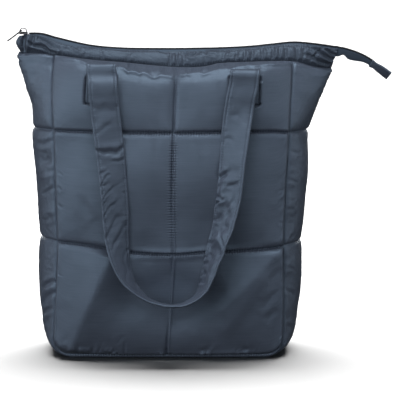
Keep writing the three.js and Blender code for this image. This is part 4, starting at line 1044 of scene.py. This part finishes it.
def build_band(name, side, seed, gathers, creases, droops):
    t = np.linspace(0, 1, 181)
    R1 = np.concatenate([spread(13), [1.0]])
    T, R = np.meshgrid(t, R1, indexing="ij")
    macro = band_point(T, R)
    # Its foot is tucked behind the wall below it.
    macro[:, 0, 2] -= 3.0
    macro[:, 0, 1] = np.maximum(0.6, macro[:, 0, 1] - 1.2)
    macro[..., 1] *= side
    N = normals_of(macro, 1.0 if side < 0 else -1.0)
    X, Z = macro[..., 0], macro[..., 2]
    lift = np.sin(np.pi * R)
    macro[..., 2] -= 0.6 * R**3
    for x0, width, drop in droops:
        fall = drop * bell(X - x0, width) * R**2
        macro[..., 2] -= fall
        macro[..., 1] += side * 0.5 * fall
    start = macro + N * (BAND_T / 2 + 1.0 * lift * fbm(X / 34, R * 1.6, seed + 3))[..., None]
    rng = np.random.RandomState(seed)
    noisy = start + N * (0.12 * lift * rng.uniform(-1, 1, X.shape))[..., None]
    middle = start.mean(axis=(0, 1))
    rest = start.copy()
    rest[..., 0] = middle[0] + (start[..., 0] - middle[0]) * 1.03
    pinned = np.zeros(X.shape, bool)
    pinned[:, [0, -1]] = True
    noisy[pinned] = start[pinned]
    cloth = simulate("band", noisy, rest, pinned, pressure=1.5, bend=0.2, flip=side > 0)
    out = ((cloth - start) * N).sum(axis=2)
    cloth = cloth + N * (np.clip(out, -1.8, 1.8) - out)[..., None]
    ends_i, ends_j = [0, len(t) - 1], [0, len(R1) - 1]
    fine = refine(cloth, ends_i, ends_j, 3)
    info = refine(np.stack([X, Z, R], axis=2), ends_i, ends_j, 3)
    NF = refine(N, ends_i, ends_j, 3)
    NF /= np.linalg.norm(NF, axis=2, keepdims=True)
    x, z, r = (info[..., k] for k in range(3))
    off = 1.35 * creased(x, z, creases)
    for x0, width, deep, lean in gathers:
        d = x - x0 - lean * 20 * (r - 0.4)
        off += deep * (0.6 * bell(d - 2.2 * width, 1.4 * width) - bell(d, width)) * smooth(0.0, 0.15, r) * (1 - smooth(0.55, 0.95, r))
    off += 0.45 * vnoise(x / 5.0, r * 1.5, seed + 7) * (0.3 + 0.7 * smooth(40, 80, x)) * np.sin(np.pi * np.clip(r, 0, 1))
    off -= 0.5 * ridged(x / 26 + r, r * 2.0 + x / 80, seed + 9) * np.sin(np.pi * np.clip(r, 0, 1))
    # A row of stitches below the zip, and the seam at the foot.
    off -= 0.35 * bell(r - 0.86, 0.04)
    off -= 1.9 * np.exp(-np.maximum(r, 0) / 0.07)
    fine = fine + NF * off[..., None]
    step = np.linspace(0, len(t) - 1, 60).round().astype(int)
    inner = (macro - N * (BAND_T / 2))[np.ix_(step, [0, 4, 9, 13])]
    # Its colour is the darkened band nylon, which holds painted shade.
    ob = shell(name, fine, inner, np.stack([x, z], axis=2) * MM, mat_band_painted_shade)
    marks(ob, tick_u=0.5 * bell(r - 0.86, 0.09) + 0.5 * bell(r, 0.12))
    row = int(np.argmin(np.abs(r[len(r) // 2] - 0.86)))
    return ob, stitches(name.replace("cloth", "thread"), [(fine[4:-4, row], NF[4:-4, row])], 3.1, 0.26, mat_thread, 0.1)


band_f, band_f_thread = build_band("band_front_cloth", -1, 51, GATHERS, BAND_CREASES, DROOPS)
band_b, band_b_thread = build_band("band_back_cloth", 1, 67, GATHERS[::2], BAND_CREASES[4:12], DROOPS[2:])

# ------------------------------------------------------------------ zip
tail_z = curve([r[0] for r in TAIL], [r[1] for r in TAIL])
tail_roll = curve([r[0] for r in TAIL], [r[2] for r in TAIL])


def zip_line():
    """Points along the zip with the frame at each: along, out of the front, up, and the band's lean."""
    t = np.linspace(0.012, 1, 240)
    top = band_point(t, np.ones_like(t))
    foot = band_point(t, np.zeros_like(t))
    lean = np.arctan2(np.abs(foot[:, 1]) - np.abs(top[:, 1]), top[:, 2] - foot[:, 2])
    xt = np.linspace(199, 242, 40)[1:]
    x = np.concatenate([top[:, 0], xt])
    z = np.concatenate([top[:, 2] + 2, tail_z(xt)])
    lean = np.concatenate([lean, lean[-1] * (1 - smooth(199, 204, xt))])
    roll = np.radians(np.concatenate([np.zeros(len(t)), tail_roll(xt)]))
    at = np.stack([x, np.zeros_like(x), z], axis=1)
    al = np.gradient(at, axis=0)
    al /= np.linalg.norm(al, axis=1, keepdims=True)
    up0 = np.stack([-al[:, 2], np.zeros_like(x), al[:, 0]], axis=1)
    fr0 = np.tile([0.0, -1.0, 0.0], (len(x), 1))
    c, s = np.cos(roll)[:, None], np.sin(roll)[:, None]
    return at, al, fr0 * c - up0 * s, up0 * c + fr0 * s, lean


zip_at, zip_al, zip_fr, zip_up, zip_lean = zip_line()
zip_s = np.concatenate([[0], np.cumsum(np.linalg.norm(np.diff(zip_at, axis=0), axis=1))])


def build_tape(name, side):
    out = zip_fr * side
    c, s = np.cos(zip_lean)[:, None], np.sin(zip_lean)[:, None]
    drop = -zip_up * c + out * s
    face = out * c + zip_up * s
    top = zip_at - zip_up * 0.9 + out * (0.2 + TAPE_T / 2)
    d = np.array([0.2, 2.0, 4.0, 6.0, 8.0, 10.0, TAPE_W])
    # On the tail its lower edge is turned under.
    narrow = (1 - 0.3 * smooth(200, 208, zip_at[:, 0]) * (1 - smooth(208, 216, zip_at[:, 0])) - 0.4 * smooth(218, 240, zip_at[:, 0]))[:, None]
    rings = []
    for sign, order in ((1, d), (-1, d[::-1])):
        for k in order:
            bow = 0.5 * math.sin(math.pi * k / TAPE_W)
            rings.append(top + drop * k * narrow + face * (sign * TAPE_T / 2 + bow))
    rings = np.stack(rings, axis=1)
    verts, faces = tube(rings)
    dd = np.concatenate([d, d[::-1]])
    uv = np.stack(np.broadcast_arrays(zip_s[:, None], dd[None]), axis=2).reshape(-1, 2) * MM
    return new_object(name, verts, faces, uv, mat_tape)


tape_f = build_tape("tape_front_cloth", 1)
tape_b = build_tape("tape_back_cloth", -1)


def build_coil():
    """Two coils of monofilament that lock into each other, half a turn apart."""
    start = float(np.interp(-172.0, zip_at[:, 0], zip_s))
    pitch, per = 1.45, 10
    length = zip_s[-1] - start
    turns = int(length / pitch)
    verts, faces = [], []
    for side in (1, -1):
        k = np.arange(turns * per + 1)
        s = start + k / per * pitch + (0.5 * pitch if side < 0 else 0)
        s = np.minimum(s, zip_s[-1])
        pick = lambda a: np.stack([np.interp(s, zip_s, a[:, j]) for j in range(3)], axis=1)
        at, al, fr, up = pick(zip_at), pick(zip_al), pick(zip_fr), pick(zip_up)
        turn = 2 * np.pi * k / per
        path = at + fr * (side * 0.55 + 1.25 * np.cos(turn))[:, None] + up * (-0.35 + 0.85 * np.sin(turn))[:, None]
        tan = np.gradient(path, axis=0)
        tan /= np.linalg.norm(tan, axis=1, keepdims=True)
        n1 = np.cross(tan, al)
        n1 /= np.maximum(np.linalg.norm(n1, axis=1, keepdims=True), 1e-6)
        n2 = np.cross(tan, n1)
        ang = 2 * np.pi * np.arange(4) / 4
        rings = path[:, None] + 0.36 * (n1[:, None] * np.cos(ang)[None, :, None] + n2[:, None] * np.sin(ang)[None, :, None])
        v, f = tube(rings)
        base = sum(len(x) for x in verts)
        verts.append(v)
        faces += [tuple(i + base for i in q) for q in f]
    return new_object("coil_teeth", np.concatenate(verts), faces, None, mat_coil)


coil = build_coil()


def build_tab():
    """The cloth tab folded over the tail's end, with a stitched edge."""
    at, al, fr, up = zip_at[-1], zip_al[-1], zip_fr[-1], zip_up[-1]
    rings = []
    ang = np.linspace(0, 2 * np.pi, 40, endpoint=False)
    for s in np.concatenate([[-0.02, 0.0], np.linspace(0.02, 0.97, 24), [0.99, 1.0]]):
        a = math.radians(26) * max(0, s)
        u = up * math.cos(a) + fr * math.sin(a)
        f = fr * math.cos(a) - up * math.sin(a)
        mid = at + al * (-0.4 + s * 26) - up * (TAPE_W * 0.3 + 1.2) + np.array([0, 0, -2 * s * s])
        end = math.sqrt(max(0.0, 1 - max(0.0, (abs(2 * s - 1) - 0.93) / 0.11) ** 2))
        half = (4.3 + 0.7 * bell(s - 0.04, 0.07) - 0.5 * bell(s - 0.25, 0.12) + 2.3 * max(0, s) ** 1.3) * (0.93 + 0.07 * end)
        thick = 1.8 * (0.25 + 0.75 * end) * (1 - 0.25 * math.exp(-((s - 0.16) / 0.03) ** 2) - 0.2 * math.exp(-((s - 0.88) / 0.03) ** 2))
        c, sn = np.cos(ang), np.sin(ang)
        yy = np.sign(c) * np.abs(c) ** 0.35 * half
        tt = np.sign(sn) * np.abs(sn) ** 0.6 * thick * (1 + 0.15 * np.cos(2 * np.pi * yy / half))
        rings.append(mid + u[None] * yy[:, None] + f[None] * tt[:, None])
    rings = np.stack(rings)
    verts, faces = tube(rings)
    uv = np.stack(np.broadcast_arrays(np.linspace(0, 0.025, len(rings))[:, None], (ang * 7 * MM)[None]), axis=2).reshape(-1, 2)
    return new_object("tab_cloth", verts, faces, uv, mat_nylon)


tab = build_tab()

# ------------------------------------------------------------------ slider and pull
for node in ("zip_slider", "zip_pull"):
    ob = frame["nodes"][node] if isinstance(frame["nodes"], dict) else bpy.data.objects[node]
    ob = ob if hasattr(ob, "data") else bpy.data.objects[node]
    ob.data.materials.clear()
    ob.data.materials.append(mat_metal)

# ------------------------------------------------------------------ each piece joins the bag in place of the frame's part
for ob, node, slot in (
    (front, "front_panel", "quilted_nylon"),
    (back, "back_panel", "quilted_nylon"),
    (gusset, "gusset", "quilted_nylon"),
    (band_f, "band_front", "quilted_nylon"),
    (band_b, "band_back", "quilted_nylon"),
    (tape_f, "zip_tape_front", "zip_tape"),
    (tape_b, "zip_tape_back", "zip_tape"),
    (coil, "zip_coil", "zip_coil"),
    (tab, "zip_end_tab", "quilted_nylon"),
    (strap_f, "strap_front", "strap_nylon"),
    (strap_b, "strap_back", "strap_nylon"),
):
    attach(ob, "bag")
    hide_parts(node)
for ob in (front_thread, back_thread, gusset_thread, band_f_thread, band_b_thread, strap_f_thread, strap_b_thread):
    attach(ob, "bag")

# ------------------------------------------------------------------ floor, light and camera
floor_mat, nt, bsdf = nodes_of("floor")
bsdf.inputs["Base Color"].default_value = (0.5, 0.5, 0.5, 1)
bsdf.inputs["Roughness"].default_value = 0.9
bsdf.inputs["Specular IOR Level"].default_value = 0.0
# A round floor that turns up into a wall all round, so that every side has the same backdrop.
profile = [(3.6, 0.0)] + [(3.6 + 0.7 * math.sin(a), 0.7 - 0.7 * math.cos(a)) for a in np.linspace(0, math.pi / 2, 10)[1:]] + [(4.3, 3.2)]
turns = 72
verts = [(0.0, 0.0, 0.0)]
for r, z in profile:
    verts += [(r * 1000 * math.cos(2 * math.pi * k / turns), r * 1000 * math.sin(2 * math.pi * k / turns), z * 1000) for k in range(turns)]
faces = [(0, 1 + k, 1 + (k + 1) % turns) for k in range(turns)]
for j in range(len(profile) - 1):
    lo, hi = 1 + j * turns, 1 + (j + 1) * turns
    faces += [(lo + k, hi + k, hi + (k + 1) % turns, lo + (k + 1) % turns) for k in range(turns)]
floor = new_object("floor", verts, faces, None, floor_mat)
# Its bounce is left to the lights, as with dark flags round the bag.
floor.visible_diffuse = False
floor.visible_glossy = False


def area(name, at, target, size, power, color=(0.95, 0.98, 1.0)):
    light = bpy.data.lights.new(name, "AREA")
    light.shape = "RECTANGLE"
    light.size, light.size_y = size
    light.energy = power
    light.color = color
    ob = bpy.data.objects.new(name, light)
    ob.location = at
    d = np.array(target, float) - np.array(at, float)
    from mathutils import Vector

    ob.rotation_euler = Vector(d).to_track_quat("-Z", "Y").to_euler()
    ob.visible_camera = False
    SCENE.collection.objects.link(ob)
    return ob


back_light = area("floor_light", (0.0, 0.05, 2.1), (0, 0, 0.0), (2.2, 0.40), 44, (1, 1, 1))
far_light = area("floor_light_far", (0.0, 0.74, 2.1), (0, 0, 0.0), (2.2, 0.95), 124, (1, 1, 1))
wall_lights = [
    area("wall_light_%d" % k, (2.0 * dx, 2.0 * dy, 2.3), (3.6 * dx, 3.6 * dy, 1.0), (2.4, 1.0), 260, (1, 1, 1))
    for k, (dx, dy) in enumerate(((0, 1), (1, 0), (0, -1), (-1, 0)))
]
bag_lights = [
    area("key", (-1.1, -1.6, 0.7), (0, 0, 0.2), (1.0, 1.0), 9.5),
    area("side", (-1.9, -0.8, 0.7), (0, 0, 0.2), (1.0, 1.0), 7.5),
    area("front", (0.0, -2.6, 1.1), (0, 0, 0.2), (4.0, 2.6), 28),
    area("left", (-2.5, -0.5, 1.0), (0, 0, 0.2), (3.0, 3.0), 22),
    area("right", (2.5, -0.6, 0.9), (0, 0, 0.2), (3.0, 2.6), 27),
    area("top", (0.0, -0.25, 2.1), (0, 0, 0.2), (0.4, 0.4), 24),
    area("brow", (0.0, -0.9, 1.9), (0, 0, 0.2), (0.6, 0.6), 4),
    area("behind", (0.0, 2.6, 0.6), (0, 0, 0.2), (3.0, 1.0), 32),
]
# As with flags in a studio: the front lights are kept off the floor.
on_floor = bpy.data.collections.new("lit_floor")
on_floor.objects.link(floor)
on_bag = bpy.data.collections.new("lit_bag")
for ob in SCENE.objects:
    if ob.type == "MESH" and ob is not floor:
        on_bag.objects.link(ob)
for ob in (back_light, far_light, *wall_lights):
    ob.light_linking.receiver_collection = on_floor
for ob in bag_lights:
    ob.light_linking.receiver_collection = on_bag
world = bpy.data.worlds.new("studio")
world.use_nodes = True
world.node_tree.nodes["Background"].inputs["Color"].default_value = (1, 1, 1, 1)
world.node_tree.nodes["Background"].inputs["Strength"].default_value = 0.03
SCENE.world = world
SCENE.view_settings.view_transform = "Standard"
SCENE.view_settings.look = "None"

cam = bpy.data.cameras.new("photo_camera")
cam.lens = 150
cam.sensor_width = 36
cam.clip_end = 20
cam_ob = bpy.data.objects.new("photo_camera", cam)
tilt = math.radians(8)
cam_ob.location = (0.0336, -0.030 - 2.0 * math.cos(tilt), 0.189 + 2.0 * math.sin(tilt))
cam_ob.rotation_euler = (math.pi / 2 - tilt, 0, 0)
SCENE.collection.objects.link(cam_ob)
SCENE.camera = cam_ob

bpy.context.view_layer.update()
